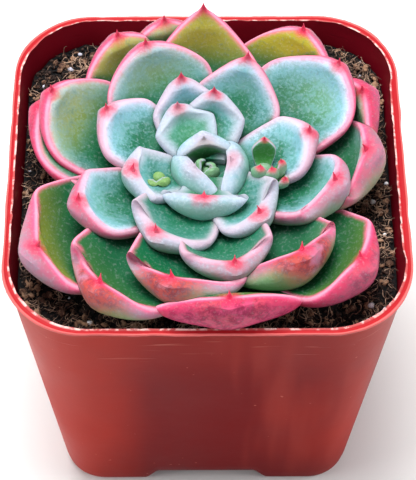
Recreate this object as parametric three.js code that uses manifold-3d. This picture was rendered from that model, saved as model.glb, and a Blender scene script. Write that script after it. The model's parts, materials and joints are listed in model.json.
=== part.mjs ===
// Potted mexican snowball: a rosette of thick, cupped leaves in a square nursery pot.
// Millimetres, +Z up. The origin is under the middle of the pot, on the surface it stands on.

import * as THREE from 'three';
import { mergeVertices } from 'three/addons/utils/BufferGeometryUtils.js';
import Module from 'manifold-3d';

const wasm = await Module();
wasm.setup();

const DEGREE = Math.PI / 180;
const GOLDEN_ANGLE = 137.5;

// Clearance between pieces that touch on the real plant
const GAP = 0.3;

// Pot: one sheet of formed plastic, wider at the rim than at the base
const POT_HEIGHT = 94;
const RIM_HALF = 50;
const RIM_CORNER = 21;
const RIM_LIP = 1.0;
const RIM_THICKNESS = 0.9;
const BASE_HALF = 39.2;
const BASE_CORNER = 11;
const SHEET = 1.0;
const CORNER_STEPS = 7;

// Channels pressed up into the base, which leave a foot under each corner
const CHANNEL_HEIGHT = 4;
const CHANNEL_TOP_HALF = 13;
const CHANNEL_FOOT_HALF = 17;

// Drain holes: one in the middle and one in each channel
const DRAIN_RADIUS = 4;
const DRAIN_DISTANCE = 24;
const DRAIN_DIRECTIONS = [[0, 0], [1, 0], [0, 1], [-1, 0], [0, -1]];

// Soil: level with a line a little below the rim, dished under the rosette
const SOIL_LEVEL = 86;
const SOIL_EDGE = 84.5;
const SOIL_DISH = 5;
const DISH_RADIUS = 41;
const DISH_FLOOR_SHARE = 0.6;
const SOIL_RINGS = [0.985, 0.95, 0.91, 0.87, 0.82, 0.76, 0.66, 0.35];
const CLOD_HEIGHT = 0.5;
const CLOD_TURNS_X = 0.9;
const CLOD_TURNS_Y = 1.1;
const CLOD_WANDER = 1.3;

// Grains of perlite on the soil
const GRAIN_COUNT = 90;
const GRAIN_RADIUS = 2.2;
const GRAIN_HEIGHT = 1.3;
const GRAIN_NEAREST = 40;
const GRAIN_SPREAD = 18;
const GRAIN_STEP = 0.37;

// Stem: short, woody, hidden by the leaves
const STEM_X = 0;
const STEM_Y = -5;
const STEM_FOOT = 70;
const STEM_SHOULDER = 85.8;
const STEM_TOP = 97.5;
const STEM_FOOT_RADIUS = 3.6;
const STEM_TOP_RADIUS = 1.6;
const ROUND_SIDES = 12;

// Leaves: the oldest leaves the stem lowest, the youngest highest
const LOWEST_LEAF = 86.8;
const LEAF_RISE = 13.5;
const YOUNGEST = 32;
const OLD_THICKNESS = 7.6;
const YOUNG_THICKNESS = 4;
const LEAF_START = 3;
const LEAF_STATIONS = 8;
const LEAF_SIDES = 12;
const STATION_CROWDING = 1.35;

// Leaf outline: a broad neck at the stem, the belly past the middle, a blunt end with a small spike
const BEND_SHARPNESS = 0.74;
const NECK = 0.5;
const NECK_FLARE = 1.15;
const SPIKE_LENGTH = 1.7;
const SPIKE_SHARE = 0.1;
const SPIKE_HALF = 0.8;
const SPIKE_ROOT = 1.6;
const LEAST_HALF = 0.05;

// Leaf section: rounded outside, flatter inside but plump near the end, curled in at the margins
const INSIDE_SHARE = 0.34;
const END_INSIDE_SHARE = 0.46;
const PLUMP_FROM = 0.6;
const PLUMP_SPAN = 0.25;
const MOST_FILL = 0.6;
const SECTION_FULLNESS = 0.8;
const END_THICKNESS = 0.8;
const THICK_SPAN = 0.9;
const TAPER_RATE = 2.4;
const MARGIN_SHARE = 0.06;
const NECK_CURL = 0.55;
const CURL_COMPLETE_AT = 0.45;
const RELAX_FROM = 0.7;

// Leaf ends. widest: share of the length where a leaf is widest; fullness and bluntness: how far the
// width is kept towards the end; relax: how much the cup opens towards the tip.
const LEAF_ENDS = {
  pointed: { widest: 0.6, fullness: 1.9, bluntness: 0.85, relax: 0.45 },
  broad: { widest: 0.62, fullness: 2.2, bluntness: 0.7, relax: 0.45 },
  round: { widest: 0.66, fullness: 2.6, bluntness: 0.62, relax: 0.1 },
  blunt: { widest: 0.68, fullness: 3.2, bluntness: 0.54, relax: 0 },
};

// Each leaf, oldest first. age: place on the stem's spiral; turn: compass angle of the leaf in
// degrees; reach and height: where its tip is; lean: how far the belly stands out past the tip;
// half: half the width; cup: how far each margin curls in; swing, roll and skew: how it is twisted;
// sink: how much lower it starts, in the dip round the growing tip.
const LEAVES = [
  { name: 'leaf_01', age: 1, end: 'broad', turn: 27, reach: 44, height: 106, lean: 6, half: 16, cup: 46,
    roll: -8, skew: 1 },
  { name: 'leaf_02', age: 2, end: 'broad', turn: 104, reach: 44.5, height: 107.5, lean: 0, half: 15,
    cup: 36 },
  { name: 'leaf_03', age: 3, end: 'broad', turn: 121, reach: 44, height: 108, lean: 0, half: 15.5,
    cup: 34 },
  { name: 'leaf_04', age: 4, end: 'round', turn: 319, reach: 45.5, height: 105, lean: 8, half: 15.5,
    cup: 44, roll: 8, skew: 2 },
  { name: 'leaf_05', age: 5, end: 'round', turn: 207, reach: 46.5, height: 104, lean: 8, half: 17.5,
    cup: 46, roll: -6, skew: 4 },
  { name: 'leaf_06', age: 6, end: 'broad', turn: 55, reach: 46, height: 109, lean: 0, half: 15.5, cup: 36,
    swing: 4, skew: 2 },
  { name: 'leaf_07', age: 7, end: 'blunt', turn: 277, reach: 39.5, height: 105, lean: 9.5, half: 17.5,
    cup: 26, roll: -4 },
  { name: 'leaf_08', age: 8, end: 'broad', turn: 153, reach: 43.5, height: 108, lean: 0.5, half: 15,
    cup: 40 },
  { name: 'leaf_09', age: 9, end: 'round', turn: 3, reach: 38, height: 106, lean: 10.5, half: 15.5, cup: 48,
    roll: -16, skew: 0.5 },
  { name: 'leaf_10', age: 10, end: 'round', turn: 237.5, reach: 42, height: 104, lean: 10, half: 16.5,
    cup: 48, roll: -12, skew: -3 },
  { name: 'leaf_11', age: 11, end: 'pointed', turn: 91, reach: 41, height: 114.5, lean: 0, half: 15.5,
    cup: 36 },
  { name: 'leaf_12', age: 12, end: 'round', turn: 301, reach: 34, height: 106, lean: 10, half: 16, cup: 46,
    roll: -4, skew: 5.5 },
  { name: 'leaf_13', age: 7.5, end: 'broad', turn: 156, reach: 45, height: 104, lean: 4, half: 15.5,
    cup: 46, swing: 8 },
  { name: 'leaf_14', age: 14, end: 'broad', turn: 38.5, reach: 42.5, height: 110, lean: 1, half: 15.5,
    cup: 38, swing: 8 },
  { name: 'leaf_15', age: 15, end: 'round', turn: 262, reach: 35, height: 106, lean: 9, half: 16, cup: 48,
    roll: -10, skew: -4 },
  { name: 'leaf_16', age: 16, end: 'broad', turn: 116, reach: 35, height: 112, lean: 0, half: 15, cup: 36 },
  { name: 'leaf_17', age: 17, end: 'round', turn: 343, reach: 31, height: 107.5, lean: 6.5, half: 12.5,
    cup: 50, roll: -14, skew: 2 },
  { name: 'leaf_18', age: 18, end: 'round', turn: 204.5, reach: 33.2, height: 106.5, lean: 3, half: 11,
    cup: 48, roll: -8, skew: -1.5 },
  { name: 'leaf_19', age: 19, end: 'pointed', turn: 69, reach: 29, height: 112, lean: 0, half: 12,
    cup: 36 },
  { name: 'leaf_20', age: 20, end: 'round', turn: 280, reach: 30.5, height: 105.5, lean: 5.5, half: 13,
    cup: 62, roll: 4, relax: 0, skew: 1 },
  { name: 'leaf_21', age: 21, end: 'broad', turn: 151, reach: 28.5, height: 108, lean: 0, half: 11,
    cup: 40 },
  { name: 'leaf_22', age: 22, end: 'broad', turn: 14, reach: 26, height: 108, lean: 1, half: 10, cup: 38,
    skew: 0.5 },
  { name: 'leaf_23', age: 23, end: 'round', turn: 245, reach: 24, height: 105.5, lean: 4.5, half: 12,
    cup: 58, roll: -6, skew: -2.5 },
  { name: 'leaf_24', age: 24, end: 'pointed', turn: 106, reach: 23, height: 110, lean: 1, half: 9.5,
    cup: 42 },
  { name: 'leaf_25', age: 25, end: 'round', turn: 310, reach: 19.5, height: 105.5, lean: 5, half: 10.5,
    cup: 60, roll: 8, skew: -1 },
  { name: 'leaf_26', age: 26, end: 'round', turn: 196, reach: 18, height: 106.5, lean: 3.5, half: 9,
    cup: 54, roll: -4, skew: -1.5 },
  { name: 'leaf_27', age: 27, end: 'pointed', turn: 84, reach: 17.5, height: 110, lean: 1, half: 8.5,
    cup: 44 },
  { name: 'leaf_28', age: 28, end: 'round', turn: 266, reach: 11.5, height: 106, lean: 5.5, half: 11.5,
    cup: 46, relax: 0 },
  { name: 'leaf_29', age: 29, end: 'pointed', turn: 117, reach: 16, height: 108, lean: 1, half: 8.5,
    cup: 44 },
  { name: 'leaf_30', age: 30, end: 'broad', turn: 355, reach: 5.5, height: 105, lean: 5, half: 9.5, cup: 44,
    relax: 0, sink: 5 },
  { name: 'leaf_31', age: 31, end: 'broad', turn: 218, reach: 3.5, height: 104.5, lean: 5.5, half: 9,
    cup: 44, relax: 0, sink: 5.4 },
  { name: 'leaf_32', age: 32, end: 'broad', turn: 99, reach: 5, height: 106, lean: 3, half: 7.5, cup: 52,
    relax: 0, sink: 5 },
];

// Heart: the smallest leaves, still closed round the growing tip
const HEART_LEAVES = [
  { turn: 302, reach: 1.2, height: 101.8, lean: 2.2, half: 2.8, cup: 58 },
  { turn: 165, reach: 1.4, height: 102.3, lean: 2, half: 2.8, cup: 58 },
  { turn: 30, reach: 0.9, height: 100.4, lean: 1.4, half: 2.2, cup: 58 },
];
const HEART_CORE_RADIUS = 1.7;
const HEART_CORE_Z = 97.2;
const HEART_THICKNESS = 1.6;
const HEART_START = 0.4;

// Offsets: two small rosettes that grow between the big leaves, one on each side.
// A leaf's height is measured from the middle of its own rosette.
const OFFSETS = [
  { name: 'offset_right', x: 14, y: -6, z: 99, core: 2.4,
    leaves: [
      { turn: 90, reach: 4.3, height: 9, lean: 1, half: 3 },
      { turn: 346, reach: 4, height: 7, lean: 1, half: 2.2 },
      { turn: 300, reach: 3.4, height: 6.8, lean: 1, half: 2.2 },
      { turn: 318, reach: 6.5, height: 4.5, lean: 0.8, half: 2.6 },
      { turn: 247, reach: 2.6, height: 6.8, lean: 1, half: 2.4 },
    ] },
  { name: 'offset_left', x: -12, y: -8, z: 99, core: 1.9,
    leaves: [
      { turn: 146, reach: 2, height: 4, lean: 0.8, half: 2 },
      { turn: 300, reach: 2, height: 3.4, lean: 0.8, half: 2 },
      { turn: 240, reach: 2.4, height: 3, lean: 0.8, half: 2 },
    ] },
];
const OFFSET_START = 0.5;
const OFFSET_THICKNESS = 2.2;
const OFFSET_CUP = 46;
const SMALL_STATIONS = 5;
const SMALL_SIDES = 8;
const CORE_BANDS = 5;

// Finishes
const PLASTIC = { color: 0xb5403c, roughness: 0.42, metalness: 0 };
const EARTH = { color: 0x241f1e, roughness: 0.95, metalness: 0 };
const BARK = { color: 0x8a6f4f, roughness: 0.8, metalness: 0 };
const OLD_LEAF = { color: 0xd987a0, roughness: 0.5, metalness: 0 };
const YOUNG_LEAF = { color: 0xa9d3cc, roughness: 0.5, metalness: 0 };

function smoothStep(x) {
  const t = THREE.MathUtils.clamp(x, 0, 1);
  return t * t * (3 - 2 * t);
}

// A closed skin through rings of points, capped with a fan to one point at each end
function loft(rings, start, end) {
  const sides = rings[0].length;
  const points = [...rings.flat(), start, end];
  const startIndex = rings.length * sides;
  const endIndex = startIndex + 1;
  const lastRing = (rings.length - 1) * sides;
  const triangles = [];
  for (let side = 0; side < sides; side++) {
    const next = (side + 1) % sides;
    triangles.push(startIndex, next, side);
    triangles.push(endIndex, lastRing + side, lastRing + next);
    for (let ring = 0; ring < rings.length - 1; ring++) {
      const low = ring * sides;
      const high = low + sides;
      triangles.push(low + side, low + next, high + next);
      triangles.push(low + side, high + next, high + side);
    }
  }
  const geometry = new THREE.BufferGeometry().setFromPoints(points);
  geometry.setIndex(triangles);
  return geometry;
}

function toSolid(geometry) {
  const bare = geometry.clone();
  bare.deleteAttribute('normal');
  bare.deleteAttribute('uv');
  const merged = mergeVertices(bare);
  const vertProperties = new Float32Array(merged.attributes.position.array);
  const triVerts = new Uint32Array(merged.index.array);
  return new wasm.Manifold(new wasm.Mesh({ numProp: 3, vertProperties, triVerts }));
}

function toGeometry(solid) {
  const result = solid.getMesh();
  const positions = new Float32Array(result.vertProperties);
  const geometry = new THREE.BufferGeometry();
  geometry.setAttribute('position', new THREE.BufferAttribute(positions, 3));
  geometry.setIndex(new THREE.BufferAttribute(new Uint32Array(result.triVerts), 1));
  return geometry;
}

// The biggest of the pieces that a cut leaves
function largestPiece(solid) {
  const pieces = solid.decompose();
  return pieces.reduce((best, piece) => (piece.volume() > best.volume() ? piece : best));
}

function boxesMeet(first, second) {
  const a = first.boundingBox();
  const b = second.boundingBox();
  return [0, 1, 2].every((axis) => a.min[axis] < b.max[axis] && b.min[axis] < a.max[axis]);
}

function cutBy(solid, cutters) {
  const near = cutters.filter((cutter) => boxesMeet(solid, cutter));
  return near.reduce((rest, cutter) => rest.subtract(cutter), solid);
}

// Share of the full half width at a share of the leaf's length, the end drawn out to a small spike
function leafOutline(share, length, half, { widest, fullness, bluntness }) {
  if (share < widest) {
    const flare = Math.sin((0.5 * Math.PI * share) / widest) ** NECK_FLARE;
    return NECK + (1 - NECK) * flare;
  }
  const bodyEnd = 1 - Math.min(SPIKE_LENGTH / length, SPIKE_SHARE);
  const towardsEnd = Math.min((share - widest) / (bodyEnd - widest), 1);
  const body = (1 - towardsEnd ** fullness) ** bluntness;
  const left = (1 - share) / (1 - bodyEnd) / SPIKE_ROOT;
  const spike = (SPIKE_HALF / half) * THREE.MathUtils.clamp(left, 0, 1);
  return Math.cbrt(body ** 3 + spike ** 3);
}

// One leaf: it runs out from the stem almost level, then turns up into a cupped, keeled blade.
// grow makes the same leaf thicker and wider all round, to cut its neighbours with a gap.
function leafSolid(leaf, size, grow = 0) {
  const { turn, reach, height, lean, half, cup, swing = 0, roll = 0, skew = 0 } = leaf;
  const end = LEAF_ENDS[leaf.end ?? 'pointed'];
  const relax = leaf.relax ?? end.relax;
  const { start, base, thickness, stations, sides, x, y } = size;
  const corner = new THREE.Vector3(reach + lean, 0, base);
  const foot = new THREE.Vector3(start, 0, base);
  const tip = new THREE.Vector3(reach, 0, height);
  const spine = new THREE.CubicBezierCurve3(
    foot, foot.clone().lerp(corner, BEND_SHARPNESS), tip.clone().lerp(corner, BEND_SHARPNESS), tip);
  const length = spine.getLength();
  const across = new THREE.Vector3(0, 1, 0);
  const rings = [];
  for (let station = 0; station < stations; station++) {
    const share = 1 - (1 - station / stations) ** STATION_CROWDING;
    const along = spine.getUtoTmapping(share);
    const position = spine.getPoint(along);
    const swung = swing * DEGREE * (1 - along) ** 2;
    position.set(position.x * Math.cos(swung), position.x * Math.sin(swung), position.z);
    position.y += skew * share ** 3;
    const tangent = spine.getTangent(along);
    const sideways = across.clone();
    const inward = new THREE.Vector3().crossVectors(tangent, sideways).normalize();
    sideways.applyAxisAngle(tangent, roll * DEGREE * share);
    inward.applyAxisAngle(tangent, roll * DEGREE * share);
    const width = Math.max(half * leafOutline(share, length, half, end), LEAST_HALF);
    const taper = Math.min(1, (TAPER_RATE * width) / half + MARGIN_SHARE);
    const swell = Math.sin(Math.PI * Math.min(share / THICK_SPAN, 1));
    const thick = thickness * taper * THREE.MathUtils.lerp(END_THICKNESS, 1, swell);
    const filled = smoothStep((share - PLUMP_FROM) / PLUMP_SPAN);
    const plump = THREE.MathUtils.lerp(INSIDE_SHARE, END_INSIDE_SHARE, filled);
    const opening = 1 - relax * smoothStep((share - RELAX_FROM) / (1 - RELAX_FROM));
    const closing = THREE.MathUtils.lerp(NECK_CURL, 1, smoothStep(share / CURL_COMPLETE_AT));
    const curl = cup * DEGREE * closing * opening;
    const radius = width / curl;
    const fill = Math.min(plump * thick, MOST_FILL * radius);
    const ring = [];
    for (let side = 0; side < sides; side++) {
      const angle = (2 * Math.PI * side) / sides;
      const bulge = Math.abs(Math.sin(angle)) ** SECTION_FULLNESS;
      const inside = bulge * (fill + grow);
      const outside = -bulge * ((1 - plump) * thick + grow);
      const lift = side < sides / 2 ? inside : outside;
      const bent = Math.cos(angle) * curl;
      const out = Math.cos(angle) * grow;
      const sideOffset = (radius - lift) * Math.sin(bent) + out * Math.cos(bent);
      const edgeLift = Math.abs(out * Math.sin(bent));
      const inwardOffset = radius * (1 - Math.cos(bent)) + lift * Math.cos(bent) + edgeLift;
      const point = position.clone();
      point.addScaledVector(sideways, sideOffset);
      point.addScaledVector(inward, inwardOffset);
      ring.push(point);
    }
    rings.push(ring);
  }
  const heel = spine.getPoint(0).addScaledVector(spine.getTangent(0), -grow);
  const point = spine.getPoint(1).addScaledVector(spine.getTangent(1), grow);
  heel.set(heel.x * Math.cos(swing * DEGREE), heel.x * Math.sin(swing * DEGREE), heel.z);
  point.y += skew;
  const geometry = loft(rings, heel, point);
  geometry.rotateZ(turn * DEGREE);
  geometry.translate(x, y, 0);
  return toSolid(geometry);
}

function leafSize({ age, sink = 0 }) {
  const youth = age / YOUNGEST;
  return {
    start: LEAF_START,
    base: LOWEST_LEAF + LEAF_RISE * youth - sink,
    thickness: THREE.MathUtils.lerp(OLD_THICKNESS, YOUNG_THICKNESS, youth),
    stations: LEAF_STATIONS,
    sides: LEAF_SIDES,
    x: STEM_X,
    y: STEM_Y,
  };
}

function potHalf(z) {
  return THREE.MathUtils.lerp(BASE_HALF, RIM_HALF - RIM_LIP, z / POT_HEIGHT);
}

function potCorner(z) {
  return THREE.MathUtils.lerp(BASE_CORNER, RIM_CORNER - RIM_LIP, z / POT_HEIGHT);
}

// A square ring with round corners, level at z, or with the height that a rule gives each point
function squareRing(half, corner, z, heightAt = () => z) {
  const ring = [];
  const middle = half - corner;
  for (let quarter = 0; quarter < 4; quarter++) {
    const towards = (quarter * 90 + 45) * DEGREE;
    const x = middle * Math.sign(Math.cos(towards));
    const y = middle * Math.sign(Math.sin(towards));
    for (let step = 0; step <= CORNER_STEPS; step++) {
      const angle = (quarter * 90 + (90 * step) / CORNER_STEPS) * DEGREE;
      const point = new THREE.Vector3(x + corner * Math.cos(angle), y + corner * Math.sin(angle), z);
      point.z = heightAt(point.x, point.y);
      ring.push(point);
    }
  }
  return ring;
}

// Two crossed bars with sloping sides, from below the base up to a height
function crossedBars(height, topHalf, footHalf) {
  const below = CHANNEL_HEIGHT / 2;
  const lowestHalf = footHalf + ((footHalf - topHalf) * below) / height;
  const outline = new THREE.Shape();
  outline.moveTo(-lowestHalf, -below);
  outline.lineTo(lowestHalf, -below);
  outline.lineTo(topHalf, height);
  outline.lineTo(-topHalf, height);
  outline.closePath();
  const length = 2 * (RIM_HALF + RIM_CORNER);
  const bar = new THREE.ExtrudeGeometry(outline, { depth: length, bevelEnabled: false });
  bar.rotateX(90 * DEGREE);
  bar.translate(0, length / 2, 0);
  const other = bar.clone().rotateZ(90 * DEGREE);
  return toSolid(bar).add(toSolid(other));
}

function makePot() {
  const lipUnder = POT_HEIGHT - RIM_THICKNESS;
  const outside = loft([
    squareRing(potHalf(0), potCorner(0), 0),
    squareRing(potHalf(lipUnder), potCorner(lipUnder), lipUnder),
    squareRing(RIM_HALF, RIM_CORNER, lipUnder),
    squareRing(RIM_HALF, RIM_CORNER, POT_HEIGHT),
  ], new THREE.Vector3(0, 0, 0), new THREE.Vector3(0, 0, POT_HEIGHT));
  const above = POT_HEIGHT + CHANNEL_HEIGHT;
  const inside = loft([
    squareRing(potHalf(SHEET) - SHEET, potCorner(SHEET) - SHEET, SHEET),
    squareRing(potHalf(above) - SHEET, potCorner(above) - SHEET, above),
  ], new THREE.Vector3(0, 0, SHEET), new THREE.Vector3(0, 0, above));
  const ridges = crossedBars(CHANNEL_HEIGHT + SHEET, CHANNEL_TOP_HALF + SHEET, CHANNEL_FOOT_HALF + SHEET);
  const channels = crossedBars(CHANNEL_HEIGHT, CHANNEL_TOP_HALF, CHANNEL_FOOT_HALF);
  const formed = toSolid(outside).subtract(toSolid(inside).subtract(ridges)).subtract(channels);
  const drain = new THREE.CylinderGeometry(DRAIN_RADIUS, DRAIN_RADIUS, 4 * CHANNEL_HEIGHT, ROUND_SIDES);
  drain.rotateX(90 * DEGREE);
  return DRAIN_DIRECTIONS.reduce((pot, [x, y]) => {
    const hole = drain.clone().translate(x * DRAIN_DISTANCE, y * DRAIN_DISTANCE, CHANNEL_HEIGHT);
    return pot.subtract(toSolid(hole));
  }, formed);
}

// Height of the soil: clods as crossed waves, and grains of perlite set round in a spiral
function soilHeight(x, y) {
  const distance = Math.hypot(x - STEM_X, y - STEM_Y) / DISH_RADIUS;
  const dish = 1 - smoothStep((distance - DISH_FLOOR_SHARE) / (1 - DISH_FLOOR_SHARE));
  const firstWave = Math.sin(CLOD_TURNS_X * x + CLOD_WANDER * Math.sin(CLOD_TURNS_X * y));
  const secondWave = Math.sin(CLOD_TURNS_Y * y + CLOD_WANDER * Math.sin(CLOD_TURNS_Y * x));
  let grain = 0;
  for (let index = 0; index < GRAIN_COUNT; index++) {
    const angle = index * GOLDEN_ANGLE * DEGREE;
    const away = GRAIN_NEAREST + GRAIN_SPREAD * ((index * GRAIN_STEP) % 1);
    const distanceToGrain = Math.hypot(x - away * Math.cos(angle), y - away * Math.sin(angle));
    grain = Math.max(grain, smoothStep(1 - distanceToGrain / GRAIN_RADIUS));
  }
  return SOIL_LEVEL - SOIL_DISH * dish + CLOD_HEIGHT * (firstWave + secondWave) + GRAIN_HEIGHT * grain;
}

function makeSoil() {
  const inset = SHEET + GAP;
  const wallAt = (z) => squareRing(potHalf(z) - inset, potCorner(z) - inset, z);
  const rings = [wallAt(inset), wallAt(SOIL_EDGE)];
  for (const share of SOIL_RINGS) {
    const half = share * (potHalf(SOIL_EDGE) - inset);
    rings.push(squareRing(half, share * (potCorner(SOIL_EDGE) - inset), SOIL_EDGE, soilHeight));
  }
  const middle = new THREE.Vector3(0, 0, soilHeight(0, 0));
  const filling = toSolid(loft(rings, new THREE.Vector3(0, 0, inset), middle));
  const ridges = crossedBars(
    CHANNEL_HEIGHT + inset, CHANNEL_TOP_HALF + inset, CHANNEL_FOOT_HALF + inset);
  return filling.subtract(ridges).subtract(makeStem(GAP));
}

function makeStem(grow = 0) {
  const profile = [
    new THREE.Vector2(0, STEM_FOOT - grow),
    new THREE.Vector2(STEM_FOOT_RADIUS + grow, STEM_FOOT - grow),
    new THREE.Vector2(STEM_FOOT_RADIUS + grow, STEM_SHOULDER),
    new THREE.Vector2(STEM_TOP_RADIUS + grow, STEM_TOP + grow),
    new THREE.Vector2(0, STEM_TOP + grow),
  ];
  const turned = new THREE.LatheGeometry(profile, ROUND_SIDES);
  turned.rotateX(90 * DEGREE);
  turned.translate(STEM_X, STEM_Y, 0);
  return toSolid(turned);
}

function makeHeart(grow = 0) {
  const size = {
    ...leafSize({ age: YOUNGEST }),
    start: HEART_START,
    base: HEART_CORE_Z,
    thickness: HEART_THICKNESS,
    stations: SMALL_STATIONS,
    sides: SMALL_SIDES,
  };
  const core = new THREE.SphereGeometry(HEART_CORE_RADIUS + grow, SMALL_SIDES, CORE_BANDS);
  core.translate(STEM_X, STEM_Y, HEART_CORE_Z);
  return HEART_LEAVES.reduce((heart, leaf) => heart.add(leafSolid(leaf, size, grow)), toSolid(core));
}

function makeOffset({ x, y, z, core, leaves }) {
  const ball = new THREE.SphereGeometry(core, SMALL_SIDES, CORE_BANDS);
  ball.translate(x, y, z);
  const size = {
    start: OFFSET_START,
    base: z,
    thickness: OFFSET_THICKNESS,
    stations: SMALL_STATIONS,
    sides: SMALL_SIDES,
    x,
    y,
  };
  return leaves.reduce((offset, leaf) => {
    const blade = { ...leaf, height: z + leaf.height, cup: OFFSET_CUP };
    return offset.add(leafSolid(blade, size));
  }, toSolid(ball));
}

const group = new THREE.Group();

function addPiece(name, solid, finish) {
  const mesh = new THREE.Mesh(toGeometry(solid), new THREE.MeshStandardMaterial(finish));
  mesh.name = name;
  group.add(mesh);
}

addPiece('pot', makePot(), PLASTIC);

// A young leaf keeps its whole shape, and each older one is pressed in where it lies against it
const ordered = [...LEAVES].sort((first, second) => first.age - second.age);
const whole = ordered.map((leaf) => leafSolid(leaf, leafSize(leaf)));
const grown = ordered.map((leaf) => leafSolid(leaf, leafSize(leaf), GAP));
const grownHeart = makeHeart(GAP);
const grownStem = makeStem(GAP);
ordered.forEach((leaf, index) => {
  const younger = [...grown.slice(index + 1), ...whole.slice(index + 1)];
  const pressed = cutBy(whole[index], [...younger, grownHeart, grownStem]);
  addPiece(leaf.name, largestPiece(pressed), leaf.age < YOUNGEST / 2 ? OLD_LEAF : YOUNG_LEAF);
});

addPiece('heart_leaves', makeHeart(), YOUNG_LEAF);
addPiece('stem', makeStem().subtract(grownHeart), BARK);

// The soil gives way where a low leaf is pressed into it
addPiece('soil', largestPiece(cutBy(makeSoil(), grown)), EARTH);

for (const offset of OFFSETS) {
  const seated = cutBy(makeOffset(offset), [...grown, grownHeart, grownStem]);
  addPiece(offset.name, largestPiece(seated), OLD_LEAF);
}

export default group;
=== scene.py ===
import json
import math

import bmesh
import bpy
import numpy as np
from mathutils import Matrix, Vector
from mathutils.bvhtree import BVHTree
from mathutils.interpolate import poly_3d_calc

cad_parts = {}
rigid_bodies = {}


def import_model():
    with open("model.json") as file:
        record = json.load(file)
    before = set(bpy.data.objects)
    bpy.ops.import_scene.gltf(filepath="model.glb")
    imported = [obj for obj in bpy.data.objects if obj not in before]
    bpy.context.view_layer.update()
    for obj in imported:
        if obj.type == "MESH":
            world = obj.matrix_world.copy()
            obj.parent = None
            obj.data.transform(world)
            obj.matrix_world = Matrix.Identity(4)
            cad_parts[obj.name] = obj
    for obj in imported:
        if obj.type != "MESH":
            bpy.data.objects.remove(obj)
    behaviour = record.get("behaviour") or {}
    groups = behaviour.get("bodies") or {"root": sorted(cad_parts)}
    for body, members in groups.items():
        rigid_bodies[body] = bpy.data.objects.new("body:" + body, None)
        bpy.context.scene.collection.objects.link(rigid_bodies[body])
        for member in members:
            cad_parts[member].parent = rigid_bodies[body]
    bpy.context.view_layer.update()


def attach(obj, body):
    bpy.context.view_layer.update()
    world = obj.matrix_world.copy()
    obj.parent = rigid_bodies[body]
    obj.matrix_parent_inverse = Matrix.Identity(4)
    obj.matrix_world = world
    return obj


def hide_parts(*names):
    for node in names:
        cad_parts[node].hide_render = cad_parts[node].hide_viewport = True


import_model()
scene = bpy.context.scene
scene.view_settings.view_transform = "Standard"

MILLIMETRE = 0.001

# View. The pot stands square to the photographer, who looks down into it from half a metre
# away with a long lens.
VIEW_CENTRE = Vector((0.479, 0.0, 61.0)) * MILLIMETRE
VIEW_DISTANCE = 496.8 * MILLIMETRE
VIEW_ELEVATION = math.radians(55.412)
VIEW_TURN = math.radians(-0.879)
VIEW_ROLL = math.radians(0.56)
VIEW_LENS = 140.44
NEAREST_SEEN = 0.05

back = Vector((
    math.sin(VIEW_TURN) * math.cos(VIEW_ELEVATION),
    -math.cos(VIEW_TURN) * math.cos(VIEW_ELEVATION),
    math.sin(VIEW_ELEVATION),
))
level_right = (-back).cross(Vector((0, 0, 1))).normalized()
level_up = back.cross(level_right)
right = math.cos(VIEW_ROLL) * level_right + math.sin(VIEW_ROLL) * level_up
up = math.cos(VIEW_ROLL) * level_up - math.sin(VIEW_ROLL) * level_right
camera = bpy.data.objects.new("camera", bpy.data.cameras.new("camera"))
camera.data.lens = VIEW_LENS
camera.data.clip_start = NEAREST_SEEN
camera.matrix_world = (
    Matrix.Translation(VIEW_CENTRE + VIEW_DISTANCE * back)
    @ Matrix((right, up, back)).transposed().to_4x4()
)
scene.collection.objects.link(camera)
scene.camera = camera

# Light. A white room with one big soft light above the far side of the pot and a weaker one
# at each side, so that no shadow has an edge.
ROOM_WHITE = (0.94, 0.97, 1.0, 1)
ROOM_STRENGTH = 0.34
LIGHT_SIZE = 0.5
room = bpy.data.worlds.new("white_room")
room.use_nodes = True
room.node_tree.nodes["Background"].inputs["Color"].default_value = ROOM_WHITE
room.node_tree.nodes["Background"].inputs["Strength"].default_value = ROOM_STRENGTH
scene.world = room


def add_soft_light(name, place, power, colour):
    lamp = bpy.data.lights.new(name, "AREA")
    lamp.size = LIGHT_SIZE
    lamp.energy = power
    lamp.color = colour
    light = bpy.data.objects.new(name, lamp)
    light.location = place
    light.rotation_euler = (VIEW_CENTRE - Vector(place)).to_track_quat("-Z", "Y").to_euler()
    scene.collection.objects.link(light)


add_soft_light("light_above", (-0.10, 0.22, 0.95), 11.0, (1.0, 0.99, 0.97))
add_soft_light("light_left", (-0.80, -0.15, 0.45), 3.4, (1.0, 0.98, 0.96))
add_soft_light("light_right", (0.80, -0.10, 0.45), 3.4, (1.0, 0.98, 0.96))

# Floor. A plain white sheet that the pot stands on, wide enough to run out of the picture on
# every side.
FLOOR_HALF = 3.0
FLOOR_CORNERS = ((-1, -1), (1, -1), (1, 1), (-1, 1))
FLOOR_WHITE = (0.9, 0.9, 0.9, 1)


def new_material(name, **settings):
    """A Principled material with plain values set on its shader."""
    material = bpy.data.materials.new(name)
    material.use_nodes = True
    shader = material.node_tree.nodes["Principled BSDF"]
    for socket, value in settings.items():
        shader.inputs[socket.replace("_", " ")].default_value = value
    return material


floor_mesh = bpy.data.meshes.new("floor")
floor_mesh.from_pydata([(x * FLOOR_HALF, y * FLOOR_HALF, 0) for x, y in FLOOR_CORNERS], [], [(0, 1, 2, 3)])
floor_mesh.materials.append(new_material("white_sheet", Base_Color=FLOOR_WHITE, Roughness=0.8))
floor = bpy.data.objects.new("floor", floor_mesh)
scene.collection.objects.link(floor)

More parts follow.
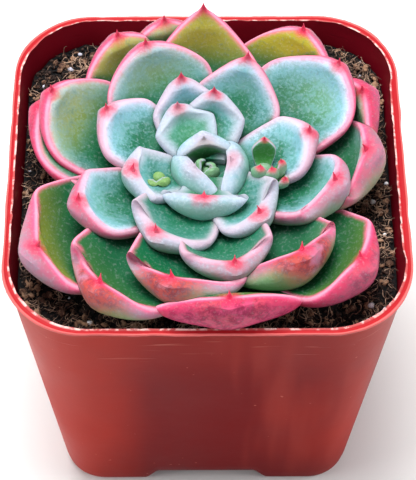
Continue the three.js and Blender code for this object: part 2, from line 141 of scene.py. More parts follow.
# Pot. One sheet of soft red plastic drawn down over a mould: tapered sides, round corners, a
# flat lip trimmed unevenly, and a base pressed up in a cross between four feet.
POT_HEIGHT = 94.0
RIM_HALF = 49.0
RIM_CORNER = 20.0
BASE_HALF = 39.2
BASE_CORNER = 11.0
SHEET = 1.0
LIP_UNDER = 93.1
FOOT_ROUNDING = 1.6
CHANNEL_HEIGHT = 4.0
CHANNEL_TOP_HALF = 13.0
CHANNEL_FOOT_HALF = 17.0
DRAIN_RADIUS = 4.0
DRAIN_DISTANCE = 24.0
CORNER_STEPS = 16
WALL_LEVELS = 44
SIDE_RUNS = ((-1.0, -0.66, 6), (-0.66, -0.40, 9), (-0.40, 0.40, 13), (0.40, 0.66, 9), (0.66, 1.0, 6))
SIDE_SHARES = np.concatenate([np.linspace(start, end, count)[:-1] for start, end, count in SIDE_RUNS])
BASE_RINGS = 26
FOOT_RINGS = 6
INSIDE_TOP = 93.4
INSIDE_FOOT = SHEET + CHANNEL_HEIGHT + 1
INSIDE_RINGS = 36
WALL_END = 0.5
POT_SHARP = math.radians(50)
DRAINS = ((0, 0), (1, 0), (0, 1), (-1, 0), (0, -1))
DRAIN_SIDES = 40
LIP_PROFILE = (
    (0.20, 92.85), (0.62, 92.98), (0.90, 93.10), (1.00, 93.36), (0.97, 93.68), (0.80, 93.86),
    (0.55, 93.80), (0.25, 93.62), (-0.10, 93.56), (-0.42, 93.66), (-0.72, 93.90), (-0.95, 93.98),
)
LIP_WEAR = 0.42
NICK_DEPTH = 0.25
TRIM_CUT = 0.55
BURR_DEPTH = 0.16
BURR_DROP = 0.22
OUTER_WALL = 3.0
UNDER_LIP = 2.0
INNER_WALL = -3.0


def smooth_step(x):
    t = np.clip(x, 0.0, 1.0)
    return t * t * (3 - 2 * t)


def square_ring(half, corner):
    """Points round a square with round corners, against the clock from the lower end of the +X side."""
    points = []
    for quarter in range(4):
        turn = math.radians(90 * quarter)
        middle = half - corner
        side = [(half, share * middle) for share in SIDE_SHARES]
        bend = [
            (middle + corner * math.cos(a), middle + corner * math.sin(a))
            for a in np.linspace(0, math.pi / 2, CORNER_STEPS + 1)[:-1]
        ]
        for x, y in side + bend:
            points.append((
                x * math.cos(turn) - y * math.sin(turn),
                x * math.sin(turn) + y * math.cos(turn),
            ))
    return np.array(points)


def pot_size(z, inset=0.0):
    """Half width and corner radius of the pot at a height in millimetres, drawn in by an inset."""
    share = z / POT_HEIGHT
    half = BASE_HALF + (RIM_HALF - BASE_HALF) * share
    corner = BASE_CORNER + (RIM_CORNER - BASE_CORNER) * share
    return half - inset, corner - inset


def pot_ring(z, inset=0.0):
    return square_ring(*pot_size(z, inset))


def raised_base(x, y):
    """Height of the pressed-up cross over the feet."""
    slope = CHANNEL_FOOT_HALF - CHANNEL_TOP_HALF
    along_x = 1 - smooth_step((np.abs(x) - CHANNEL_TOP_HALF) / slope)
    along_y = 1 - smooth_step((np.abs(y) - CHANNEL_TOP_HALF) / slope)
    return CHANNEL_HEIGHT * np.maximum(along_x, along_y)


def skin_faces(ring_count, side_count, first=0):
    """Quads between neighbouring closed rings of points, facing out when the rings climb."""
    faces = []
    for ring in range(ring_count - 1):
        low = first + ring * side_count
        high = low + side_count
        for side in range(side_count):
            after = (side + 1) % side_count
            faces.append((low + side, low + after, high + after, high + side))
    return faces


def add_mesh(name, points, faces):
    """A smooth mesh object from points in millimetres."""
    mesh = bpy.data.meshes.new(name)
    mesh.from_pydata([tuple(p) for p in np.asarray(points) * MILLIMETRE], [], faces)
    mesh.shade_smooth()
    piece = bpy.data.objects.new(name, mesh)
    scene.collection.objects.link(piece)
    return piece


def ragged(count, waves, seed):
    """A closed random line, from -1 to 1, made of waves that each run a whole number of times round."""
    rng = np.random.default_rng(seed)
    turn = np.linspace(0, 2 * math.pi, count, endpoint=False)
    line = np.zeros(count)
    for wave in waves:
        line += np.sin(wave * turn + rng.uniform(0, 2 * math.pi)) * rng.uniform(0.5, 1.0)
    return line / np.abs(line).max()


def flat_ring(ring, height):
    """A ring in plan set at a height, which is one number or one for each point."""
    return np.column_stack([ring, np.broadcast_to(height, len(ring))])


def capped_faces(rings, side_count):
    """The skin over a stack of rings, closed at both ends."""
    last = (len(rings) - 1) * side_count
    ends = [tuple(range(side_count))[::-1], tuple(range(last, last + side_count))]
    return skin_faces(len(rings), side_count) + ends


sides = len(pot_ring(0))
rings = []
heel = pot_ring(0)
heel_raise = raised_base(heel[:, 0], heel[:, 1])
for share in np.linspace(0.03, 1.0, BASE_RINGS):
    flat = share * pot_ring(0, FOOT_ROUNDING)
    rings.append(flat_ring(flat, raised_base(flat[:, 0], flat[:, 1])))
for bend in np.linspace(0, math.pi / 2, FOOT_RINGS)[1:]:
    flat = pot_ring(0, FOOT_ROUNDING * (1 - math.sin(bend)))
    rings.append(flat_ring(flat, heel_raise + FOOT_ROUNDING * (1 - math.cos(bend))))
for share in np.linspace(0, 1, WALL_LEVELS)[1:]:
    low = heel_raise + FOOT_ROUNDING
    height = low + (LIP_UNDER - WALL_END - low) * share
    climb = (height / POT_HEIGHT)[:, None]
    rings.append(flat_ring(pot_ring(0) * (1 - climb) + pot_ring(POT_HEIGHT) * climb, height))
# Each ring's place across the lip, in millimetres out from the rim, is kept for the colours.
rim = [OUTER_WALL] * len(rings)
lip_wave = 0.5 + 0.5 * ragged(sides, range(3, 30), 4)
lip_nick = np.clip(ragged(sides, range(20, 90), 9), 0, 1)
edge_wave = ragged(sides, range(9, 96), 21)
mean_ring = pot_ring(POT_HEIGHT)
wide_trim = smooth_step((mean_ring[:, 0] - 44) / 3) * smooth_step((30 - np.abs(mean_ring[:, 1])) / 4)
for out, z in LIP_PROFILE:
    trimmed = out * (1 - LIP_WEAR * lip_wave) if out > 0 else out - TRIM_CUT * wide_trim
    burr = smooth_step((-out - 0.4) / 0.4)
    inward = burr * (BURR_DEPTH * edge_wave)
    flat = mean_ring * (1 + ((trimmed - inward) / RIM_HALF))[:, None]
    height = z - NICK_DEPTH * lip_nick * (1 if out > 0.5 else 0) - BURR_DROP * burr * (0.5 + 0.5 * edge_wave)
    rings.append(flat_ring(flat, height))
    rim.append(out if z > LIP_UNDER + 0.1 else UNDER_LIP)
for z in np.linspace(INSIDE_TOP, INSIDE_FOOT, INSIDE_RINGS):
    rings.append(flat_ring(pot_ring(z, SHEET), z))
    rim.append(INNER_WALL)
pot = add_mesh("nursery_pot", np.concatenate(rings), capped_faces(rings, sides))
across_rim = pot.data.attributes.new("rim", "FLOAT", "POINT")
across_rim.data.foreach_set("value", np.repeat(rim, sides).astype(np.float32))

drains = bmesh.new()
for x, y in DRAINS:
    bmesh.ops.create_cone(
        drains, cap_ends=True, segments=DRAIN_SIDES, radius1=DRAIN_RADIUS * MILLIMETRE,
        radius2=DRAIN_RADIUS * MILLIMETRE, depth=6 * CHANNEL_HEIGHT * MILLIMETRE,
        matrix=Matrix.Translation(Vector((x * DRAIN_DISTANCE, y * DRAIN_DISTANCE, 0)) * MILLIMETRE))
drain_mesh = bpy.data.meshes.new("drains")
drains.to_mesh(drain_mesh)
drains.free()
drain_cutter = bpy.data.objects.new("drains", drain_mesh)
scene.collection.objects.link(drain_cutter)


def as_plain_mesh(piece):
    """Puts the result of the piece's modifiers in the place of its mesh."""
    depsgraph = bpy.context.evaluated_depsgraph_get()
    piece.data = bpy.data.meshes.new_from_object(piece.evaluated_get(depsgraph))
    piece.modifiers.clear()


def combine(piece, operation, others):
    """Joins other closed skins to the piece's mesh, or cuts them out of it."""
    for other in others:
        step = piece.modifiers.new("step", "BOOLEAN")
        step.solver = "MANIFOLD"
        step.operation = operation
        step.object = other
    as_plain_mesh(piece)


combine(pot, "DIFFERENCE", [drain_cutter])
bpy.data.objects.remove(drain_cutter)
pot.data.set_sharp_from_angle(angle=POT_SHARP)


def from_hex(code):
    """Linear colour of a screen colour written as six digits."""
    channels = [int(code[i:i + 2], 16) / 255 for i in (0, 2, 4)]
    linear = [c / 12.92 if c <= 0.04045 else ((c + 0.055) / 1.055) ** 2.4 for c in channels]
    return (*linear, 1.0)


def add_node(tree, kind, inputs=(), **settings):
    """A node with its settings and inputs; an input takes plain values, a socket or a Value."""
    node = tree.nodes.new(kind)
    for name, value in settings.items():
        setattr(node, name, value)
    for key, value in dict(inputs).items():
        if isinstance(value, Value):
            value = value.socket
        if isinstance(value, bpy.types.NodeSocket):
            tree.links.new(value, node.inputs[key])
        else:
            node.inputs[key].default_value = value
    return node


class Value:
    """What a node puts out. Sums, products, ramps and mixes of it add the nodes that make them."""

    def __init__(self, tree, socket):
        self.tree = tree
        self.socket = socket

    def math(self, operation, *others, clamp=False):
        node = add_node(self.tree, "ShaderNodeMath", enumerate((self, *others)),
                        operation=operation, use_clamp=clamp)
        return Value(self.tree, node.outputs[0])

    def __add__(self, other):
        return self.math("ADD", other)

    def __sub__(self, other):
        return self.math("SUBTRACT", other)

    def __mul__(self, other):
        return self.math("MULTIPLY", other)

    def __truediv__(self, other):
        return self.math("DIVIDE", other)

    def ramp(self, start, end, low=0.0, high=1.0):
        """Smooth change from low to high while the value goes from start to end."""
        node = add_node(self.tree, "ShaderNodeMapRange", {
            "Value": self, "From Min": start, "From Max": end, "To Min": low, "To Max": high,
        }, interpolation_type="SMOOTHSTEP")
        return Value(self.tree, node.outputs["Result"])

    def mix(self, first, second):
        """The first colour where the value is 0, the second where it is 1."""
        ends = [from_hex(colour) if isinstance(colour, str) else colour for colour in (first, second)]
        node = add_node(self.tree, "ShaderNodeMix", {0: self, 6: ends[0], 7: ends[1]}, data_type="RGBA")
        return Value(self.tree, node.outputs[2])


def new_group(name, kind, inputs, outputs):
    """A node group with named sockets, what it is given and the sockets of what it puts out."""
    group = bpy.data.node_groups.new(name, kind)
    for label, socket in inputs.items():
        group.interface.new_socket(label, in_out="INPUT", socket_type="NodeSocket" + socket)
    for label, socket in outputs.items():
        group.interface.new_socket(label, in_out="OUTPUT", socket_type="NodeSocket" + socket)
    sockets = group.nodes.new("NodeGroupInput").outputs
    given = {label: Value(group, sockets[label]) for label in inputs}
    return group, given, group.nodes.new("NodeGroupOutput").inputs


# Grain, which all materials of the part have: a smooth random pattern, stretched as each needs.
surface_grain, given, result = new_group("surface_grain", "ShaderNodeTree", {
    "Place": "Vector", "Stretch": "Vector", "Scale": "Float", "Detail": "Float", "Roughness": "Float",
}, {"Grain": "Float"})
stretched = add_node(surface_grain, "ShaderNodeMapping", {
    "Vector": given["Place"], "Scale": given["Stretch"]})
noise = add_node(surface_grain, "ShaderNodeTexNoise", {
    "Vector": stretched.outputs[0], "Scale": given["Scale"], "Detail": given["Detail"],
    "Roughness": given["Roughness"]})
surface_grain.links.new(noise.outputs["Fac"], result["Grain"])


def pattern(place, scale, detail=2.0, roughness=0.5, stretch=(1, 1, 1)):
    """The shared grain in one material, with its own number of grains per metre."""
    node = add_node(place.tree, "ShaderNodeGroup", {
        "Place": place, "Stretch": stretch, "Scale": scale, "Detail": detail, "Roughness": roughness,
    }, node_tree=surface_grain)
    return Value(place.tree, node.outputs["Grain"])


def object_place(material):
    """The Object coordinates in a material."""
    tree = material.node_tree
    return Value(tree, add_node(tree, "ShaderNodeTexCoord").outputs["Object"])


def stored(tree, name):
    """What the mesh stores for each point under a name."""
    return Value(tree, add_node(tree, "ShaderNodeAttribute", attribute_name=name).outputs["Fac"])


def dress(piece, material):
    piece.data.materials.clear()
    piece.data.materials.append(material)


def join_shader(material, colour, height, strength, distance, roughness=None):
    """Leads a colour, a bump and, where it varies, a roughness to the material's shader."""
    tree = material.node_tree
    bump = add_node(tree, "ShaderNodeBump", {"Height": height, "Strength": strength, "Distance": distance})
    surface = tree.nodes["Principled BSDF"].inputs
    tree.links.new(colour.socket, surface["Base Color"])
    tree.links.new(bump.outputs[0], surface["Normal"])
    if roughness:
        tree.links.new(roughness.socket, surface["Roughness"])


# Colours of the plastic. The lit brick and shaded maroon, the lip's light pink and near-white edge, and the
# darker groove and inside are painted light and shade on one red.
POT_LIT_BRICK = "aa2c20"
POT_SHADED_MAROON = "760206"
POT_SALMON = "b8463a"
POT_LIP_HIGHLIGHT = "e4706e"
POT_GROOVE_SHADE = "b32028"
POT_EDGE_HIGHLIGHT = "f3c9c4"
POT_INSIDE_SHADE = "8c1024"
POT_SCUFF = "e08c7c"

pot_plastic = new_material("soft_red_plastic", Specular_IOR_Level=0.08)
place = object_place(pot_plastic)
x, y, z = (
    Value(place.tree, socket)
    for socket in add_node(place.tree, "ShaderNodeSeparateXYZ", {0: place}).outputs
)
streaks = pattern(place, 60, 3, 0.6, (1, 1, 0.06))
clouds = pattern(place, 28, 2, 0.5, (1, 1, 0.7))
# Painted shade: each side is painted maroon in its middle and towards the right, and lit brick towards the
# round corners, as the light falls on it.
sideways = x.math("ABSOLUTE").math("MINIMUM", y.math("ABSOLUTE"))
shaded = sideways * 22.0 + clouds * 0.9 - x * 6.0
colour = shaded.ramp(0.72, 1.36).mix(POT_SHADED_MAROON, POT_LIT_BRICK)
colour = streaks.ramp(0.52, 0.74, 0.0, 0.3).mix(colour, POT_SALMON)
# Painted light: the upper part of the wall, under the lip, is painted lighter brick, as lit from above.
colour = z.ramp(0.060, 0.090, 0.0, 0.35).mix(colour, POT_LIT_BRICK)
scratched = pattern(place, 210, 2, 0.5, (0.25, 0.25, 4.0)).ramp(0.66, 0.74) * z.ramp(0.066, 0.09)
colour = (scratched * 0.35).mix(colour, POT_SCUFF)
colour = pattern(place, 700, 1, 0.5).ramp(0.77, 0.81, 0.0, 0.4).mix(colour, POT_SCUFF)
across_lip = stored(place.tree, "rim")
# Painted highlight: the outer part of the lip is painted light pink.
colour = across_lip.ramp(1.6, 0.9).mix(colour, POT_LIP_HIGHLIGHT)
# Painted shade: the groove across the inner part of the lip is painted darker red.
colour = across_lip.ramp(0.6, 0.2).mix(colour, POT_GROOVE_SHADE)
# Painted highlight: the raised inner edge of the lip is painted near white, broken up by a pattern.
highlight_breaks = pattern(place, 420, 3, 0.6).ramp(0.44, 0.60, 0.15, 1.0)
colour = (across_lip.ramp(-0.35, -0.7) * highlight_breaks).mix(colour, POT_EDGE_HIGHLIGHT)
# Painted shade: the inside of the wall is painted dark crimson.
colour = across_lip.ramp(-1.1, -1.8).mix(colour, POT_INSIDE_SHADE)
uneven = scratched * -0.6 + pattern(place, 90, 3, 0.5)
join_shader(pot_plastic, colour, uneven, 0.25, 0.0006, clouds.ramp(0.3, 0.7, 0.36, 0.52))
dress(pot, pot_plastic)
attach(pot, "root")
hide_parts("pot")

# Soil. Moist black peat mix that fills the pot to a line under the lip and is dished under
# the plant. It is poured in round the stem.
SOIL_LEVEL = 86.0
SOIL_EDGE = 84.5
SOIL_DISH = 5.0
DISH_RADIUS = 41.0
STEM_X = 0.0
STEM_Y = -5.0
SOIL_INSET = 1.3
SOIL_RINGS = 72
SOIL_WALL_HEIGHTS = (SOIL_INSET + 5, 40.0, SOIL_EDGE)
CRUMB_HEIGHTS = ((0.55, 0.9), (0.35, 2.1), (0.22, 4.3))


def soil_height(x, y):
    """Height of the soil: the dish under the plant, with clods and crumbs as crossed waves."""
    distance = np.hypot(x - STEM_X, y - STEM_Y) / DISH_RADIUS
    height = SOIL_LEVEL - SOIL_DISH * (1 - smooth_step((distance - 0.6) / 0.4))
    for size, turns in CRUMB_HEIGHTS:
        first = np.sin(turns * x + 1.7 * np.sin(0.7 * turns * y + size))
        second = np.sin(1.2 * turns * y + 1.9 * np.sin(0.6 * turns * x + 2 * size))
        height = height + 0.5 * size * (first + second)
    return height


rings = []
for z in SOIL_WALL_HEIGHTS:
    rings.append(flat_ring(pot_ring(z, SOIL_INSET), z))
for share in np.linspace(0.995, 0.02, SOIL_RINGS):
    flat = share * pot_ring(SOIL_EDGE, SOIL_INSET)
    rings.append(flat_ring(flat, soil_height(flat[:, 0], flat[:, 1])))
soil = add_mesh("potting_soil", np.concatenate(rings), capped_faces(rings, sides))

# Rosette. Thick leaves, one by one up a spiral round the stem. Each starts level, then turns
# up into a cupped blade with a blunt end and a small spike; the younger lies inside the older.
LEAF_DEFAULTS = {"end": "pointed", "spike": 2.4, "waist": 1.15, "swing": 0, "roll": 0, "skew": 0}
LEAF_ENDS = {
    "pointed": dict(widest=0.54, fullness=1.75, bluntness=0.95, relax=0.45),
    "broad": dict(widest=0.62, fullness=2.2, bluntness=0.7, relax=0.45),
    "round": dict(widest=0.66, fullness=2.6, bluntness=0.62, relax=0.1, spike=0.5),
    "blunt": dict(widest=0.68, fullness=3.2, bluntness=0.54, relax=0, spike=0.5),
}
LEAF_VALUES = ("age", "end", "turn", "reach", "height", "lean", "half", "cup")


def blade(*values, **more):
    """A leaf's place on the spiral, kind of end, compass angle, tip, belly, half width and curl."""
    return dict(zip(LEAF_VALUES, values), **more)


LEAVES = {
    "leaf_01": blade(1, "broad", 27, 44, 106, 6, 16, 46, roll=-8, skew=1),
    "leaf_02": blade(2, "broad", 104, 44.5, 107.5, 0, 15, 36),
    "leaf_03": blade(3, "broad", 121, 44, 108, 0, 15.5, 34),
    "leaf_04": blade(4, "round", 319, 45.5, 105, 8, 15.5, 44, roll=8, skew=2),
    "leaf_05": blade(5, "round", 207, 46.5, 104, 8, 17.5, 46, roll=-6, skew=4),
    "leaf_06": blade(6, "broad", 55, 46, 109, 0, 15.5, 36, swing=4, skew=2),
    "leaf_07": blade(7, "blunt", 277, 39.5, 105, 8.6, 17.5, 14, roll=-4, widest=0.8, bluntness=0.5),
    "leaf_08": blade(8, "broad", 153, 43.5, 108, 0.5, 15, 40),
    "leaf_09": blade(9, "round", 3, 38, 106, 10.5, 15.5, 48, roll=-16, skew=0.5),
    "leaf_10": blade(10, "round", 237.5, 42, 104, 10, 16.5, 48, roll=-12, skew=-3),
    "leaf_11": blade(11, "pointed", 91, 41, 114.5, 0, 15.5, 36),
    "leaf_12": blade(12, "blunt", 301, 34, 106, 10, 16.5, 54, roll=-2, skew=5.5),
    "leaf_13": blade(7.5, "broad", 156, 45, 104, 4, 15.5, 46, swing=8),
    "leaf_14": blade(14, "broad", 38.5, 42.5, 110, 1, 15.5, 38, swing=8),
    "leaf_15": blade(15, "blunt", 262, 35, 106, 9, 16, 50, roll=-10, skew=-4),
    "leaf_16": blade(16, "broad", 116, 35, 112, 0, 15, 36),
    "leaf_17": blade(17, "round", 343, 31, 107.5, 6.5, 12.5, 50, roll=-14, skew=2),
    "leaf_18": blade(18, "round", 204.5, 33.2, 106.5, 3, 11, 48, roll=-8, skew=-1.5),
    "leaf_19": blade(19, "pointed", 69, 29, 112, 0, 12, 36),
    "leaf_20": blade(20, "round", 280, 30.5, 105.5, 5.5, 13, 62, roll=4, relax=0, skew=1),
    "leaf_21": blade(21, "broad", 151, 28.5, 108, 0, 11, 40),
    "leaf_22": blade(22, "broad", 14, 26, 108, 1, 10, 38, skew=0.5),
    "leaf_23": blade(23, "round", 245, 24, 105.5, 4.5, 12, 50, roll=-14, skew=-2.5),
    "leaf_24": blade(24, "pointed", 106, 23, 110, 1, 9.5, 42),
    "leaf_25": blade(25, "round", 310, 19.5, 105.5, 5, 10.5, 52, roll=15, skew=-1),
    "leaf_26": blade(26, "round", 196, 18, 106.5, 3.5, 9, 54, roll=-4, skew=-1.5),
    "leaf_27": blade(27, "pointed", 84, 17.5, 110, 1, 8.5, 44),
    "leaf_28": blade(28, "round", 266, 11.5, 106, 5.5, 11.5, 42, relax=0, widest=0.76, waist=4),
    "leaf_29": blade(29, "pointed", 117, 16, 108, 1, 8.5, 44),
    "leaf_30": blade(30, "broad", 355, 5.5, 105, 5, 9.5, 44, relax=0, sink=5),
    "leaf_31": blade(31, "broad", 218, 3.5, 104.5, 5.5, 9, 44, relax=0, sink=5.4),
    "leaf_32": blade(32, "broad", 99, 5, 106, 3, 7.5, 52, relax=0, sink=5),
}
YOUNGEST = 32
LOWEST_LEAF = 86.8
LEAF_RISE = 13.5
OLD_THICKNESS = 7.6
YOUNG_THICKNESS = 4.0
LEAF_START = 3.0
LEAF_STATIONS = 56
LEAF_SIDES = 56
PRESS_GAP = 0.12
SPIKE_HALF = 2.1
SPIKE_SHARE = 0.3
LONGEST_SPIKE = 0.1
LEAST_HALF = 0.05
SPINE_STEPS = 401
SPINE_PULL = 0.74
TIP_CROWDING = 1.35
NECK = 0.5
KEEL = 0.16
KEEL_HALF = 0.28
INNER_SHARE = 0.34
LEAF_SHARP = math.radians(40)


def on_spine(t, foot, first, second, tip):
    """Places on a leaf's middle line, a curve from foot to tip that two more points pull at."""
    return (1 - t) ** 3 * foot + 3 * (1 - t) ** 2 * t * first + 3 * (1 - t) * t ** 2 * second + t ** 3 * tip


def leaf_points(leaf, start, base, thickness, stations, ring_sides, grow=0.0):
    """Rings of points along one leaf, and for each point what its colour depends on."""
    leaf = {**LEAF_DEFAULTS, **leaf}
    leaf = {**LEAF_ENDS[leaf["end"]], **leaf}
    corner = np.array([leaf["reach"] + leaf["lean"], 0.0, base])
    foot = np.array([start, 0.0, base])
    tip = np.array([leaf["reach"], 0.0, leaf["height"]])
    first = foot + SPINE_PULL * (corner - foot)
    second = tip + SPINE_PULL * (corner - tip)
    t = np.linspace(0, 1, SPINE_STEPS)[:, None]
    curve = on_spine(t, foot, first, second, tip)
    run = np.concatenate([[0], np.cumsum(np.linalg.norm(np.diff(curve, axis=0), axis=1))])
    length = run[-1]
    share = 1 - (1 - np.arange(stations) / stations) ** TIP_CROWDING
    along = np.interp(share * length, run, t[:, 0])[:, None]
    position = on_spine(along, foot, first, second, tip)
    tangent = ((1 - along) ** 2 * (first - foot) + 2 * (1 - along) * along * (second - first)
               + along ** 2 * (tip - second))
    tangent /= np.linalg.norm(tangent, axis=1)[:, None]
    swing = math.radians(leaf["swing"])
    swung = swing * (1 - along[:, 0]) ** 2
    away = position[:, 0].copy()
    position[:, 0] = away * np.cos(swung)
    position[:, 1] = away * np.sin(swung) + leaf["skew"] * share ** 3
    across = np.tile([0.0, 1.0, 0.0], (stations, 1))
    inward = np.cross(tangent, across)
    inward /= np.linalg.norm(inward, axis=1)[:, None]
    rolled = (math.radians(leaf["roll"]) * share)[:, None]
    along_side = tangent * (tangent * across).sum(1)[:, None]
    sideways = (across * np.cos(rolled) + np.cross(tangent, across) * np.sin(rolled)
                + along_side * (1 - np.cos(rolled)))
    inward = inward * np.cos(rolled) + np.cross(tangent, inward) * np.sin(rolled)

    body_end = 1 - min(leaf["spike"] / length, LONGEST_SPIKE)
    widest = leaf["widest"]
    neck = NECK + (1 - NECK) * np.sin(0.5 * math.pi * np.minimum(share / widest, 1)) ** leaf["waist"]
    towards_end = np.clip((share - widest) / (body_end - widest), 0, 1)
    blunt = (1 - towards_end ** leaf["fullness"]) ** leaf["bluntness"]
    body = np.where(share < widest, neck, blunt)
    spike_half = min(SPIKE_HALF / leaf["half"], SPIKE_SHARE)
    spike = spike_half * np.clip((1 - share) / (1 - body_end) / 1.7, 0, 1) ** 1.5
    spike = np.where(share < widest, 0, spike)
    width = np.maximum(leaf["half"] * np.cbrt(body ** 3 + spike ** 3), LEAST_HALF)[:, None]
    taper = np.minimum(1, 2.4 * width / leaf["half"] + 0.06)
    fullness = np.sin(math.pi * np.minimum(share / 0.9, 1))[:, None]
    thick = thickness * taper * (0.8 + 0.2 * fullness)
    opening = 1 - leaf["relax"] * smooth_step((share - 0.7) / 0.3)
    closing = 0.55 + 0.45 * smooth_step(share / 0.45)
    curl = (math.radians(leaf["cup"]) * closing * opening)[:, None]

    angle = np.linspace(0, 2 * math.pi, ring_sides, endpoint=False)[None, :]
    upright = np.abs(np.sin(angle))
    keel = KEEL * np.exp(-(np.cos(angle) / KEEL_HALF) ** 2) * smooth_step((share - 0.5) / 0.3)[:, None]
    plump = INNER_SHARE + 0.12 * smooth_step((share - 0.6) / 0.25)[:, None]
    radius = width / curl
    youth = leaf.get("age", YOUNGEST) / YOUNGEST
    outside = -upright ** 0.85 * ((1 - plump + keel) * thick + grow)
    inside = upright ** (1.2 - 0.5 * youth) * (np.minimum(plump * thick, 0.6 * radius) + grow)
    lift = np.where(np.sin(angle) >= 0, inside, outside)
    bent = np.cos(angle) * curl
    out = np.cos(angle) * grow
    side_offset = (radius - lift) * np.sin(bent) + out * np.cos(bent)
    in_offset = radius * (1 - np.cos(bent)) + lift * np.cos(bent) + np.abs(out * np.sin(bent))
    rings = (position[:, None, :] + sideways[:, None, :] * side_offset[:, :, None]
             + inward[:, None, :] * in_offset[:, :, None])
    heel = foot.copy()
    heel[:2] = foot[0] * math.cos(swing), foot[0] * math.sin(swing)
    heel = heel - tangent[0] * grow
    point = tip + np.array([0, leaf["skew"], 0]) + tangent[-1] * grow
    points = np.concatenate([rings.reshape(-1, 3), heel[None], point[None]])

    margins = rings[:, [0, ring_sides // 2]].reshape(-1, 3)
    margins = np.concatenate([margins, point[None]])
    to_margin = np.array([np.linalg.norm(margins - p, axis=1).min() for p in points])
    to_tip = np.linalg.norm(points - point, axis=1)
    traits = {
        "along": np.concatenate([np.repeat(share, ring_sides), [0, 1]]),
        "inside": np.concatenate([np.tile(np.sin(angle[0]), stations), [0, 0]]),
        "margin": to_margin,
        "tip": to_tip,
    }
    turn = math.radians(leaf["turn"])
    x = points[:, 0] * math.cos(turn) - points[:, 1] * math.sin(turn)
    y = points[:, 0] * math.sin(turn) + points[:, 1] * math.cos(turn)
    return np.column_stack([x, y, points[:, 2]]), traits


def leaf_faces(stations, ring_sides):
    faces = skin_faces(stations, ring_sides)
    heel = stations * ring_sides
    point = heel + 1
    last = heel - ring_sides
    for side in range(ring_sides):
        after = (side + 1) % ring_sides
        faces.append((heel, after, side))
        faces.append((point, last + side, last + after))
    return faces


def add_leaf(name, leaf, grow=0.0):
    youth = leaf["age"] / YOUNGEST
    thickness = OLD_THICKNESS + (YOUNG_THICKNESS - OLD_THICKNESS) * youth
    base = LOWEST_LEAF + LEAF_RISE * youth - leaf.get("sink", 0)
    points, traits = leaf_points(leaf, LEAF_START, base, thickness, LEAF_STATIONS, LEAF_SIDES, grow)
    piece = add_mesh(name, points + np.array([STEM_X, STEM_Y, 0]), leaf_faces(LEAF_STATIONS, LEAF_SIDES))
    store_traits(piece.data, traits)
    return piece


def store_traits(mesh, traits):
    """Stores values for each point of a mesh; a single number holds for all its points."""
    for name, values in traits.items():
        attribute = mesh.attributes.get(name) or mesh.attributes.new(name, "FLOAT", "POINT")
        spread = np.array(np.broadcast_to(values, len(mesh.vertices)), np.float32)
        attribute.data.foreach_set("value", spread)


def read_points(mesh):
    points = np.zeros(len(mesh.vertices) * 3, np.float32)
    mesh.vertices.foreach_get("co", points)
    return points.reshape(-1, 3)


def boxes_meet(first, second):
    a = read_points(first.data)
    b = read_points(second.data)
    return bool((a.min(0) < b.max(0)).all() and (b.min(0) < a.max(0)).all())


def keep_largest(piece):
    """Deletes every loose part but the one with the most surface."""
    work = bmesh.new()
    work.from_mesh(piece.data)
    seen = set()
    parts = []
    for start in work.faces:
        if start.index in seen:
            continue
        seen.add(start.index)
        part = [start]
        for face in part:
            for edge in face.edges:
                for other in edge.link_faces:
                    if other.index not in seen:
                        seen.add(other.index)
                        part.append(other)
        parts.append(part)
    parts.sort(key=lambda part: sum(face.calc_area() for face in part))
    spare = [face for part in parts[:-1] for face in part]
    bmesh.ops.delete(work, geom=spare, context="FACES")
    work.to_mesh(piece.data)
    work.free()


def gather(meshes):
    """The corners and faces of some meshes, numbered as one."""
    corners = []
    faces = []
    for mesh in meshes:
        first = len(corners)
        corners += [v.co.copy() for v in mesh.vertices]
        faces += [tuple(first + i for i in p.vertices) for p in mesh.polygons]
    return corners, faces


def read_traits(mesh):
    """One row of traits for each point of a mesh."""
    values = np.zeros((len(TRAITS), len(mesh.vertices)), np.float32)
    for row, name in zip(values, TRAITS):
        mesh.attributes[name].data.foreach_get("value", row)
    return values.T


def carry_traits(piece, sources):
    """Gives each point of a cut or joined skin the traits of the nearest place on the whole ones."""
    corners, faces = gather(sources)
    values = np.concatenate([read_traits(mesh) for mesh in sources])
    search = BVHTree.FromPolygons(corners, faces)
    found = np.zeros((len(piece.data.vertices), len(TRAITS)))
    for vertex in piece.data.vertices:
        spot, _, index, _ = search.find_nearest(vertex.co)
        around = list(faces[index])
        weights = np.array(poly_3d_calc([corners[i] for i in around], spot))
        found[vertex.index] = weights @ values[around]
    store_traits(piece.data, dict(zip(TRAITS, found.T)))


def trim(piece, cutters):
    """Cuts a piece where others press into it, and drops what comes loose."""
    combine(piece, "DIFFERENCE", [cutter for cutter in cutters if boxes_meet(piece, cutter)])
    keep_largest(piece)


def shade_leaf(piece):
    """Smooth shading, but for the edges where the leaf was cut."""
    piece.data.shade_smooth()
    piece.data.set_sharp_from_angle(angle=LEAF_SHARP)


def trim_leaf(piece, cutters):
    source = piece.data.copy()
    trim(piece, cutters)
    carry_traits(piece, [source])
    shade_leaf(piece)


STEM_PROFILE = ((3.6, 70.0), (3.6, 85.8), (1.6, 97.5))
HEART_BASE = 97.2
HEART_CORE = 1.7
HEART_THICKNESS = 1.6
HEART_CUP = 58
HEART_LEAVES = (
    dict(turn=302, reach=1.2, height=101.8, lean=2.2, half=2.8),
    dict(turn=165, reach=1.4, height=102.3, lean=2, half=2.8),
    dict(turn=30, reach=0.9, height=100.4, lean=1.4, half=2.2),
)
SMALL_STATIONS = 22
SMALL_SIDES = 24
SMALL_START = 0.4
SMALL_MARGIN_SCALE = 7.0
BALL_LEVELS = 14
BALL_SIDES = 20
POLE = 0.05
STEM_SIDES = 40
STEM_LEVELS = 16
TRAITS = ("along", "inside", "margin", "tip")


